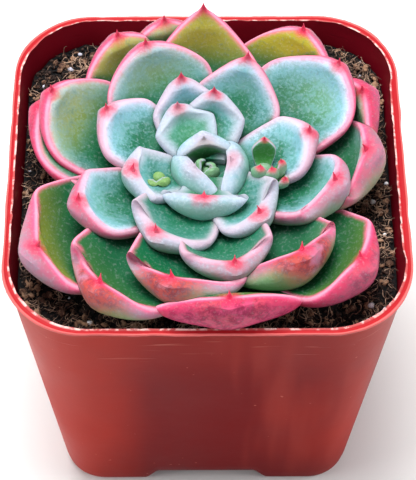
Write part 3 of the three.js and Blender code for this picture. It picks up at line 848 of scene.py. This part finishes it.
def turned_skin(name, profile, turns, x, y):
    """A closed skin turned round an upright axis from a profile of (radius, height) points."""
    angles = np.linspace(0, 2 * math.pi, turns, endpoint=False)
    points = [(x + r * math.cos(a), y + r * math.sin(a), z) for r, z in profile for a in angles]
    return add_mesh(name, points, capped_faces(profile, turns))


def small_ball(name, radius, x, y, z):
    angles = np.linspace(POLE, math.pi - POLE, BALL_LEVELS)
    profile = [(radius * math.sin(a), z - radius * math.cos(a)) for a in angles]
    return turned_skin(name, profile, BALL_SIDES, x, y)


def small_rosette(name, leaves, core, x, y, z, thickness, cup, grow=0.0, tip_scale=5.0):
    """A few small leaves round a core, as one skin; tip_scale says how small their red tips are."""
    parts = []
    for number, leaf in enumerate(leaves):
        points, traits = leaf_points(
            {"cup": cup, **leaf}, SMALL_START, z, thickness, SMALL_STATIONS, SMALL_SIDES, grow)
        part = add_mesh(f"{name}_{number}", points + np.array([x, y, 0]),
                        leaf_faces(SMALL_STATIONS, SMALL_SIDES))
        traits["margin"] *= SMALL_MARGIN_SCALE
        traits["tip"] *= tip_scale
        store_traits(part.data, traits)
        parts.append(part)
    ball = small_ball(name + "_core", core + grow, x, y, z)
    store_traits(ball.data, {"along": 0.3, "inside": -1.0, "margin": 4.0, "tip": 9.0})
    first, *others = parts + [ball]
    sources = [part.data.copy() for part in (first, *others)]
    combine(first, "UNION", others)
    carry_traits(first, sources)
    for part in others:
        bpy.data.objects.remove(part)
    shade_leaf(first)
    first.name = name
    return first


def add_stem(name, grow=0.0):
    (foot, low), (shoulder, middle), (top, high) = STEM_PROFILE
    profile = [(foot + grow, low - grow)]
    for share in np.linspace(0.05, 1, STEM_LEVELS):
        profile.append((foot + grow, low + (middle - low) * share))
    for share in np.linspace(0.06, 1, STEM_LEVELS):
        profile.append((shoulder + (top - shoulder) * share + grow, middle + (high + grow - middle) * share))
    return turned_skin(name, profile, STEM_SIDES, STEM_X, STEM_Y)


order = sorted(LEAVES, key=lambda name: LEAVES[name]["age"])
rosette = {name: add_leaf("rosette_" + name, LEAVES[name]) for name in order}
pressing = {name: add_leaf("pressing_" + name, LEAVES[name], PRESS_GAP) for name in order}
pressing["heart"] = small_rosette("pressing_heart", HEART_LEAVES, HEART_CORE, STEM_X, STEM_Y, HEART_BASE,
                                  HEART_THICKNESS, HEART_CUP, PRESS_GAP)
pressing["stem"] = add_stem("pressing_stem", PRESS_GAP)
for index, name in enumerate(order):
    trim_leaf(rosette[name], [pressing[other] for other in order[index + 1:] + ["heart", "stem"]])

# How each leaf is coloured by the light it had: rose on the outer face, red blotches, yellow-green
# in the inner face, bloom (the pale wax on it) and hot pink at the margins.
FRESHEST = 0.55
FRESH_FROM = 26
LOOK_NAMES = ("youth", "fresh", "rose", "blotch", "olive", "bloom", "hot")
LOOKS = {
    "leaf_01": (0.9, 0.2, 0.8, 0.3, 0.9), "leaf_02": (0.7, 0.2, 1.0, 0.2, 0.5),
    "leaf_03": (0.8, 0.2, 1.0, 0.1, 0.7), "leaf_04": (0.9, 0.3, 0.2, 0.0, 1.0),
    "leaf_05": (0.6, 0.1, 0.5, 0.0, 0.7), "leaf_06": (0.7, 0.2, 1.0, 0.0, 0.6),
    "leaf_07": (1.0, 0.5, 0.2, 0.0, 1.0), "leaf_08": (0.8, 0.1, 0.85, 0.4, 0.9),
    "leaf_09": (0.7, 0.2, 0.2, 0.4, 0.5), "leaf_10": (0.6, 1.0, 0.1, 0.0, 0.2),
    "leaf_11": (0.7, 0.2, 1.0, 0.04, 0.5), "leaf_12": (0.75, 1.0, 0.1, 0.05, 0.2),
    "leaf_13": (0.9, 0.2, 0.8, 0.3, 1.0), "leaf_14": (0.6, 0.1, 0.2, 0.8, 0.8),
    "leaf_15": (0.55, 1.0, 0.0, 0.0, 0.1), "leaf_16": (0.5, 0.1, 0.55, 0.5, 0.7),
    "leaf_17": (0.45, 0.2, 0.1, 0.7, 0.4), "leaf_18": (0.6, 0.2, 0.1, 0.7, 0.5),
    "leaf_19": (0.4, 0.1, 0.2, 0.7, 0.6), "leaf_20": (0.35, 0.3, 0.0, 0.1, 0.1),
    "leaf_21": (0.35, 0.1, 0.1, 0.9, 0.4), "leaf_22": (0.4, 0.2, 0.1, 0.9, 0.4),
    "leaf_23": (0.2, 0.2, 0.0, 0.2, 0.0), "leaf_24": (0.15, 0.0, 0.1, 0.8, 0.2),
    "leaf_25": (0.2, 0.2, 0.0, 0.4, 0.0), "leaf_26": (0.15, 0.1, 0.0, 0.5, 0.0),
    "leaf_27": (0.15, 0.0, 0.2, 0.6, 0.2), "leaf_28": (0.08, 0.1, 0.0, 0.1, 0.0),
    "leaf_29": (0.1, 0.0, 0.4, 0.5, 0.1), "leaf_30": (0.05, 0.1, 0.0, 0.9, 0.0),
    "leaf_31": (0.05, 0.1, 0.0, 0.9, 0.0), "leaf_32": (0.05, 0.0, 0.6, 0.2, 0.0),
}
for name, looks in LOOKS.items():
    age = LEAVES[name]["age"]
    fresh = FRESHEST * smooth_step((age - FRESH_FROM) / (YOUNGEST - FRESH_FROM))
    values = (age / YOUNGEST, fresh, *looks)
    store_traits(rosette[name].data, dict(zip(LOOK_NAMES, values)))

# How much of the sky each place on a leaf sees, which the flesh colour uses for painted shade:
# places that see little sky are painted deep green.
SKY_REACH = 30.0
SKY_LIFT = 0.4
SKY_BLUR = 8
GRAZING = 0.05
FEWEST_WAYS = 3
SKY_WAYS = [Vector((0, 0, 1))] + [
    Vector((math.cos(turn) * math.cos(rise), math.sin(turn) * math.cos(rise), math.sin(rise)))
    for rise, first in ((math.radians(28), 0.0), (math.radians(58), math.radians(30)))
    for turn in np.arange(6) * math.radians(60) + first
]


def store_sky(piece):
    """Stores the share of free ways up from each point, blurred along the surface."""
    mesh = piece.data
    sky = np.zeros(len(mesh.vertices))
    for vertex in mesh.vertices:
        start = vertex.co + vertex.normal * SKY_LIFT * MILLIMETRE
        ways = [way for way in SKY_WAYS if way.dot(vertex.normal) > GRAZING]
        free = [leaf_search.ray_cast(start, way, SKY_REACH * MILLIMETRE)[0] is None for way in ways]
        sky[vertex.index] = sum(free) / max(len(free), FEWEST_WAYS)
    ends = np.zeros(len(mesh.edges) * 2, np.int32)
    mesh.edges.foreach_get("vertices", ends)
    ends = ends.reshape(-1, 2)
    for _ in range(SKY_BLUR):
        total = sky.copy()
        count = np.ones(len(sky))
        np.add.at(total, ends[:, 0], sky[ends[:, 1]])
        np.add.at(total, ends[:, 1], sky[ends[:, 0]])
        np.add.at(count, ends.ravel(), 1)
        sky = total / count
    store_traits(mesh, {"sky": sky})


leaf_search = BVHTree.FromPolygons(*gather([piece.data for piece in rosette.values()]))
for piece in rosette.values():
    store_sky(piece)

# Colours of the flesh: the inner face, then the outer face, then the margins and the tip. A pair
# holds the two ends of a mix.
DEEP_GREEN = ("06552c", "0f6c50")
MIDDLE_GREEN = ("5c9a5e", "459c98")
BARE_GREEN = "0e6434"
OLIVE_GREEN = "a9a02e"
WAX_BLUE = ("86bccb", "c9d7ee")
# Painted shadow, for the inner face where it sees least sky.
SHADOW_GREEN = "022a1c"
FRESH_INSIDE = "4c9440"
LOW_GREEN = ("86a648", "74b5ae")
PALE_OUTSIDE = ("88b6c6", "cc4c76")
ROSY_OUTSIDE = ("b0cee0", "9c2450")
# Painted shade, for the outer face where it sees least sky.
OUTSIDE_SHADE = "1d4a35"
HOT_PINK = "cc2a58"
BLOTCH_RED = ("ba4438", "8c2a36")
FRESH_OUTSIDE = "7ea662"
MARGIN_PINK = "e8608e"
# The pale edge line, partly the margin's own colour and partly painted highlight.
EDGE_PALE_AND_HIGHLIGHT = ("a9c7d5", "f4a6be")
TIP_CRIMSON = "d8264e"
MEAL_WHITE = "e4e6f0"

flesh = new_material(
    "leaf_flesh", Specular_IOR_Level=0.22, Subsurface_Weight=0.1, Subsurface_Radius=(1.0, 0.7, 0.5),
    Subsurface_Scale=0.0012)
place = object_place(flesh)
along, inside, margin, tip, youth, fresh, rose, blotch, olive, bloom, hot, sky = (
    stored(place.tree, name) for name in (*TRAITS, *LOOK_NAMES, "sky"))
fine = pattern(place, 1300, 2, 0.6)
medium = pattern(place, 420, 3, 0.6)
large = pattern(place, 85, 3, 0.6)
grainy = medium * 0.55 + fine * 0.45
sky_seen = sky + medium * 0.12
# Painted shade, from the sky each place sees: a share for shade and one for the deepest shade.
shaded = sky_seen.ramp(0.98, 0.40)
deepest_shade = sky_seen.ramp(0.48, 0.08)


def margin_band(width, start, end):
    """A band along the leaf's edge, whose inner side wanders by a width in millimetres."""
    return (margin + medium * width).ramp(start + width / 2, end + width / 2)


# Inner face: deep green near the stem, partly its own colour and partly painted shade, teal or leaf
# green above, olive towards the tip, and a pale blue bloom that thickens to the margins. Where it
# sees little sky it is painted deep green and near black as painted shade.
upper = along + large * 0.16
deep = youth.mix(*DEEP_GREEN)
middle = youth.mix(*MIDDLE_GREEN)
middle = bloom.ramp(0.0, 0.5).mix(BARE_GREEN, middle)
inner = upper.ramp(0.56, 0.92).mix(deep, middle)
inner = (upper.ramp(0.62, 0.96) * olive).mix(inner, OLIVE_GREEN)
covered = margin_band(2.0, 9.0, 1.0) * 0.8 + upper.ramp(0.55, 1.0) * 0.5
mealy = grainy.ramp(0.38, 0.62, -0.25, 0.35)
waxed = (covered + mealy).math("MULTIPLY", bloom, clamp=True)
inner = waxed.mix(inner, margin_band(1.0, 3.6, 0.6).mix(*WAX_BLUE))
# Painted shade: deep green where the leaf sees little sky, near black where it sees least.
inner = (shaded * 0.9).mix(inner, deep)
inner = (deepest_shade * 0.85).mix(inner, SHADOW_GREEN)
inner = grainy.ramp(0.52, 0.68, 0.0, 0.35).mix(inner, deep)
inner = (fresh * margin.ramp(0.8, 3.0)).mix(inner, FRESH_INSIDE)

# Outer face: green below, pale above, and rose in a speckle where the sun reached it, with
# dark red blotches round the tip. Where it sees little sky it is painted greener and dark green
# as painted shade.
low_green = youth.mix(*LOW_GREEN)
pale = rose.mix(*PALE_OUTSIDE)
rosy = rose.mix(*ROSY_OUTSIDE)
outer = grainy.ramp(0.42, 0.60).mix(pale, rosy)
from_tip = tip + large * 8.0
low_down = (from_tip * youth.ramp(0.5, 0.9, 1.0, 1.6)).ramp(9.0, 15.0)
outer = (low_down * margin.ramp(1.5, 5.0) * hot.ramp(0.9, 0.2)).mix(outer, low_green)
# Painted shade: greener, then dark green, where the outer face sees little sky.
outer = (shaded * 0.3).mix(outer, low_green)
outer = (deepest_shade * 0.6).mix(outer, OUTSIDE_SHADE)
outer = (margin_band(3.0, 5.0, 0.5) * hot * 0.85).mix(outer, HOT_PINK)
blotched = (large * 0.75 + grainy * 0.25).ramp(0.37, 0.48) * blotch * from_tip.ramp(18.0, 9.0)
outer = (blotched * 0.92).mix(outer, grainy.ramp(0.44, 0.58).mix(*BLOTCH_RED))
outer = fresh.ramp(0.6, 1.0).mix(outer, FRESH_OUTSIDE)

# Margins and tip: pink that fades into both faces, a pale line along the edge that is partly the
# margin's own colour and partly painted highlight, a crimson tip.
# White meal lies in grains over all of it.
colour = inside.ramp(-0.10, 0.18).mix(outer, inner)
pinkness = youth.ramp(0.30, 0.95, 0.9, 0.12)
colour = (margin_band(1.2, 1.7, 0.1) * pinkness).mix(colour, MARGIN_PINK)
# Painted highlight along the edge, pale aqua on young leaves and pink on old ones, partly the margin's own
# colour.
edge_width = youth.ramp(0.5, 0.9, 0.8, 3.6)
edge_share = (margin / edge_width).ramp(1.0, 0.1, 0.0, 0.65)
colour = edge_share.mix(colour, pinkness.mix(*EDGE_PALE_AND_HIGHLIGHT))
tip_share = (tip + medium * 2.6).ramp(6.4, 2.8) * youth.ramp(0.86, 0.98, 0.95, 0.15)
colour = tip_share.mix(colour, TIP_CRIMSON)
colour = fine.ramp(0.50, 0.74, 0.0, 0.1).mix(colour, MEAL_WHITE)
join_shader(flesh, colour, grainy, 0.4, 0.0006, medium.ramp(0.3, 0.7, 0.45, 0.62))
for name, piece in rosette.items():
    dress(piece, flesh)
    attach(piece, "root")
    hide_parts(name)

# Heart. The smallest leaves, still closed round the growing tip at the top of the stem; their
# flesh is pale and waxy.
HEART_LOOKS = (0.98, 0.85, 0.0, 0.0, 0.2, 0.2, 0.0)


def finish_leaves(piece, node, looks):
    """Colours a small rosette like the leaves and puts it in the place of its solid."""
    store_traits(piece.data, dict(zip(LOOK_NAMES, looks)))
    store_sky(piece)
    dress(piece, flesh)
    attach(piece, "root")
    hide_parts(node)


heart = small_rosette("closed_heart", HEART_LEAVES, HEART_CORE, STEM_X, STEM_Y, HEART_BASE,
                      HEART_THICKNESS, HEART_CUP)
finish_leaves(heart, "heart_leaves", HEART_LOOKS)

# Offsets. Two small rosettes that the plant has grown between its big leaves, one on each side;
# they have less light and red tips.
OFFSET_BASE = 99
OFFSET_THICKNESS = 2.2
OFFSET_CUP = 46
RIGHT_LEAVES = (
    dict(turn=90, reach=4.3, height=108, lean=1, half=3, cup=16),
    dict(turn=346, reach=4, height=106, lean=1, half=2.2),
    dict(turn=300, reach=3.4, height=105.8, lean=1, half=2.2),
    dict(turn=318, reach=6.5, height=103.5, lean=0.8, half=2.6),
    dict(turn=247, reach=2.6, height=105.8, lean=1, half=2.4),
)
LEFT_LEAVES = (
    dict(turn=146, reach=2, height=103, lean=0.8, half=2),
    dict(turn=300, reach=2, height=102.4, lean=0.8, half=2),
    dict(turn=240, reach=2.4, height=102, lean=0.8, half=2),
)
OFFSETS = {
    "offset_right": (RIGHT_LEAVES, 2.4, 14, -6, 1.9, (0.8, 0.78, 0.6, 0.0, 0.2, 0.5, 0.0)),
    "offset_left": (LEFT_LEAVES, 1.9, -12, -8, 9.0, (1.0, 1.0, 0.0, 0.0, 0.2, 0.0, 0.0)),
}
for node, (leaves, core, x, y, tip_scale, looks) in OFFSETS.items():
    piece = small_rosette("small_" + node, leaves, core, x, y, OFFSET_BASE, OFFSET_THICKNESS, OFFSET_CUP,
                          tip_scale=tip_scale)
    trim_leaf(piece, pressing.values())
    finish_leaves(piece, node, looks)

# Stem. Short and woody, with the ring scars of shed leaves. It is rooted in the soil and carries
# all the leaves.
stem = add_stem("woody_stem")
trim(stem, [pressing["heart"]])
stem.data.shade_smooth()
BARK_DARK = "4a3524"
BARK_SCAR = "8f7a58"
bark = new_material("stem_bark", Roughness=0.85, Specular_IOR_Level=0.2)
scars = pattern(object_place(bark), 500, 3, 0.6, (0.25, 0.25, 1.6))
join_shader(bark, scars.ramp(0.4, 0.62).mix(BARK_DARK, BARK_SCAR), scars, 0.8, 0.0005)
dress(stem, bark)
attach(stem, "root")
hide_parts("stem")

# Soil surface. Peat that is black when moist, pressed down where a low leaf lies on it and open
# round the stem.
trim(soil, pressing.values())
soil.data.shade_smooth()
PEAT_BLACK = "0d1013"
PEAT_BROWN = "3a2a26"
peat = new_material("moist_peat", Specular_IOR_Level=0.25)
crumbs = pattern(object_place(peat), 700, 4, 0.7)
tint = crumbs.ramp(0.5, 0.72).mix(PEAT_BLACK, PEAT_BROWN)
join_shader(peat, tint, crumbs, 0.9, 0.0012, crumbs.ramp(0.4, 0.7, 0.75, 0.95))
dress(soil, peat)
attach(soil, "root")
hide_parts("soil")

for cutter in pressing.values():
    bpy.data.objects.remove(cutter)

# Soil litter. Curled coir fibres, chips of bark, crumbs of peat and white grains of perlite lie
# loose on the soil wherever no leaf covers it.
BED_RINGS = 46
FIBRE_SIDES = 3
FIBRE_STEPS = 9
FIBRE_LENGTH = 3.0
FIBRE_RADIUS = 0.085
FIBRE_CURL = 0.7
WALL_GAP = 0.25
CLEARANCE = 0.7
CLEARANCE_FADE = 1.2
COVER_HEIGHT = 4.0


def inside_wall(points, gap):
    """Moves points in millimetres that reach into the pot's wall back to a gap from it."""
    half, corner = pot_size(points[:, 2], SHEET + gap)
    beyond = np.abs(points[:, :2]) - (half - corner)[:, None]
    in_corner = (beyond > 0).all(1)
    reach = np.where(in_corner, np.hypot(beyond[:, 0], beyond[:, 1]), beyond.max(1)) - corner
    way = np.where(in_corner[:, None], beyond, (beyond >= beyond.max(1)[:, None]).astype(float))
    way /= np.linalg.norm(way, axis=1)[:, None]
    moved = points.copy()
    moved[:, :2] -= np.sign(points[:, :2]) * way * np.maximum(reach, 0)[:, None]
    return moved


def lump(name, seed, flat, tiny=False):
    """A rough stone-like lump of about two dozen faces, one millimetre across."""
    rng = np.random.default_rng(seed)
    work = bmesh.new()
    if tiny:
        bmesh.ops.create_icosphere(work, subdivisions=1, radius=0.5)
    else:
        bmesh.ops.create_cube(work, size=0.8)
        bmesh.ops.subdivide_edges(work, edges=work.edges[:], cuts=1, use_grid_fill=True)
    for vertex in work.verts:
        vertex.co = vertex.co.normalized() * 0.5 * rng.uniform(0.72, 1.1)
        vertex.co.z *= flat
    mesh = bpy.data.meshes.new(name)
    work.to_mesh(mesh)
    work.free()
    mesh.transform(Matrix.Scale(MILLIMETRE, 4))
    mesh.shade_smooth()
    return mesh


def fibre(name, seed):
    """A thin curled thread of a few steps."""
    rng = np.random.default_rng(seed)
    way = rng.uniform(0, 2 * math.pi)
    spot = np.zeros(3)
    spots = []
    for _ in range(FIBRE_STEPS):
        spots.append(spot.copy())
        way += rng.uniform(-FIBRE_CURL, FIBRE_CURL) + 0.25 * FIBRE_CURL
        rise = rng.uniform(-0.35, 0.45)
        spot = spot + np.array([math.cos(way), math.sin(way), rise]) * FIBRE_LENGTH / FIBRE_STEPS
    spots = np.array(spots) - np.mean(spots, axis=0)
    points = []
    for step, spot in enumerate(spots):
        ahead = spots[min(step + 1, FIBRE_STEPS - 1)] - spots[max(step - 1, 0)]
        ahead /= np.linalg.norm(ahead)
        side = np.cross(ahead, [0, 0, 1.0])
        side /= np.linalg.norm(side)
        over = np.cross(side, ahead)
        thin = FIBRE_RADIUS * (0.5 + 0.5 * math.sin(math.pi * (step + 0.6) / FIBRE_STEPS))
        for turn in np.linspace(0, 2 * math.pi, FIBRE_SIDES, endpoint=False):
            points.append(spot + thin * (math.cos(turn) * side + math.sin(turn) * over))
    mesh = bpy.data.meshes.new(name)
    mesh.from_pydata([tuple(p) for p in np.array(points) * MILLIMETRE], [], capped_faces(spots, FIBRE_SIDES))
    mesh.shade_smooth()
    return mesh


bed_rings = []
for share in np.linspace(0.985, 0.45, BED_RINGS):
    flat = share * pot_ring(SOIL_EDGE, SOIL_INSET)
    bed_rings.append(flat_ring(flat, soil_height(flat[:, 0], flat[:, 1])))
bed = add_mesh("litter_bed", np.concatenate(bed_rings), skin_faces(BED_RINGS, sides))


def free_share(spot):
    """How free of leaves a spot of the soil is: 0 when one is near or hangs low over it."""
    near = leaf_search.find_nearest(spot)[3] / MILLIMETRE
    over = leaf_search.ray_cast(spot, Vector((0, 0, 1)))[3]
    covered = over is not None and over < COVER_HEIGHT * MILLIMETRE
    return 0.0 if covered else float(smooth_step((near - CLEARANCE) / CLEARANCE_FADE))


store_traits(bed.data, {"free": [free_share(v.co) for v in bed.data.vertices]})

litter_tree, given, result = new_group("scattered_litter", "GeometryNodeTree", {
    "Bed": "Geometry", "Pieces": "Collection", "Density": "Float", "Clumping": "Float", "Smallest": "Float",
    "Largest": "Float", "Tilt": "Float", "Lift": "Float", "Seed": "Int", "Finish": "Material",
}, {"Litter": "Geometry"})


def add_step(kind, inputs=(), output=0, **settings):
    """One output of a new node in the litter's tree."""
    return Value(litter_tree, add_node(litter_tree, kind, inputs, **settings).outputs[output])


free = add_step("GeometryNodeInputNamedAttribute", {"Name": "free"}, data_type="FLOAT")
clumps = add_step("ShaderNodeTexNoise", {
    "W": given["Seed"], "Vector": add_step("GeometryNodeInputPosition"), "Scale": 130.0, "Detail": 2.0,
}, noise_dimensions="4D").ramp(0.44, 0.58)
share = add_step("ShaderNodeMix", {0: given["Clumping"], 2: 1.0, 3: clumps})
spread = add_step("GeometryNodeDistributePointsOnFaces", {
    "Mesh": given["Bed"], "Density": share * free * given["Density"], "Seed": given["Seed"],
}, distribute_method="RANDOM")
lift = add_step("FunctionNodeRandomValue", {2: 0.0, 3: given["Lift"], 8: given["Seed"]}, 1, data_type="FLOAT")
raised = add_step("GeometryNodeSetPosition", {
    "Geometry": spread, "Offset": add_step("ShaderNodeCombineXYZ", {"Z": lift})})
tilt = given["Tilt"]
turn = add_step("FunctionNodeRandomValue", {
    0: add_step("ShaderNodeCombineXYZ", {"X": tilt * -1.0, "Y": tilt * -1.0}),
    1: add_step("ShaderNodeCombineXYZ", {"X": tilt, "Y": tilt, "Z": 2 * math.pi}),
    8: given["Seed"],
}, data_type="FLOAT_VECTOR")
size = add_step("FunctionNodeRandomValue", {
    2: given["Smallest"], 3: given["Largest"], 8: given["Seed"]}, 1, data_type="FLOAT")
shapes = add_step("GeometryNodeCollectionInfo", {
    "Collection": given["Pieces"], "Separate Children": True, "Reset Children": True})
placed = add_step("GeometryNodeInstanceOnPoints", {
    "Points": raised, "Instance": shapes, "Pick Instance": True,
    "Rotation": add_step("FunctionNodeEulerToRotation", {0: turn}), "Scale": size})
real = add_step("GeometryNodeRealizeInstances", {"Geometry": placed})
finished = add_step("GeometryNodeSetMaterial", {"Geometry": real, "Material": given["Finish"]})
litter_tree.links.new(finished.socket, result["Litter"])


def add_litter(name, meshes, finish, **values):
    """One kind of litter over the bed, as a plain mesh."""
    shelf = bpy.data.collections.new(name + "_pieces")
    for mesh in meshes:
        shelf.objects.link(bpy.data.objects.new(mesh.name, mesh))
    piece = bpy.data.objects.new(name, bed.data.copy())
    scene.collection.objects.link(piece)
    scatter = piece.modifiers.new("litter", "NODES")
    scatter.node_group = litter_tree
    values = {"Pieces": shelf, "Finish": finish, **values}
    for item in litter_tree.interface.items_tree:
        if item.in_out == "INPUT" and item.name in values:
            scatter[item.identifier] = values[item.name]
    as_plain_mesh(piece)
    settled = inside_wall(read_points(piece.data) / MILLIMETRE, WALL_GAP) * MILLIMETRE
    piece.data.vertices.foreach_set("co", settled.astype(np.float32).ravel())
    piece.data.update()
    for stand_in in list(shelf.objects):
        bpy.data.objects.remove(stand_in)
    bpy.data.collections.remove(shelf)
    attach(piece, "root")
    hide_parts("soil")


litter_mottle, given, result = new_group("litter_mottle", "ShaderNodeTree", {
    "Place": "Vector", "Grains": "Float", "Dark": "Color", "Light": "Color",
}, {"Tint": "Color", "Relief": "Float"})
large = pattern(given["Place"], 220, 1, 0.5)
fine = pattern(given["Place"], given["Grains"], 2, 0.6)
tint = (large * 0.6 + fine * 0.4).ramp(0.40, 0.60).mix(given["Dark"], given["Light"])
litter_mottle.links.new(tint.socket, result["Tint"])
litter_mottle.links.new(fine.socket, result["Relief"])


def litter_material(name, dark, light, roughness, grains):
    material = new_material(name, Roughness=roughness, Specular_IOR_Level=0.3)
    place = object_place(material)
    mottle = add_node(place.tree, "ShaderNodeGroup", {
        "Place": place, "Grains": grains, "Dark": from_hex(dark), "Light": from_hex(light),
    }, node_tree=litter_mottle).outputs
    join_shader(material, Value(place.tree, mottle["Tint"]), mottle["Relief"], 0.6, 0.0003)
    return material


add_litter("peat_crumbs", [lump(f"crumb_{i}", 10 + i, 0.8, tiny=True) for i in range(4)],
           litter_material("peat_crumb", "101215", "4c3a33", 0.9, 1500),
           Density=1.6e6, Clumping=0.3, Smallest=0.35, Largest=1.3, Tilt=1.5, Lift=0.0003, Seed=3)
add_litter("bark_chips", [lump(f"chip_{i}", 30 + i, 0.4) for i in range(4)],
           litter_material("bark_chip", "4e342a", "b08a6e", 0.8, 1800),
           Density=2.2e5, Clumping=0.7, Smallest=0.8, Largest=2.4, Tilt=0.8, Lift=0.0005, Seed=5)
add_litter("coir_fibres", [fibre(f"fibre_{i}", 50 + i) for i in range(7)],
           litter_material("coir_fibre", "5e4438", "ccac94", 0.7, 900),
           Density=1.15e6, Clumping=0.85, Smallest=0.5, Largest=1.5, Tilt=0.7, Lift=0.0012, Seed=7)
add_litter("perlite_grains", [lump(f"grain_{i}", 70 + i, 0.85) for i in range(4)],
           litter_material("white_perlite", "cfcfe0", "ffffff", 0.9, 1600),
           Density=2.0e4, Clumping=0.0, Smallest=0.7, Largest=2.0, Tilt=1.5, Lift=0.0004, Seed=8)
bpy.data.objects.remove(bed)
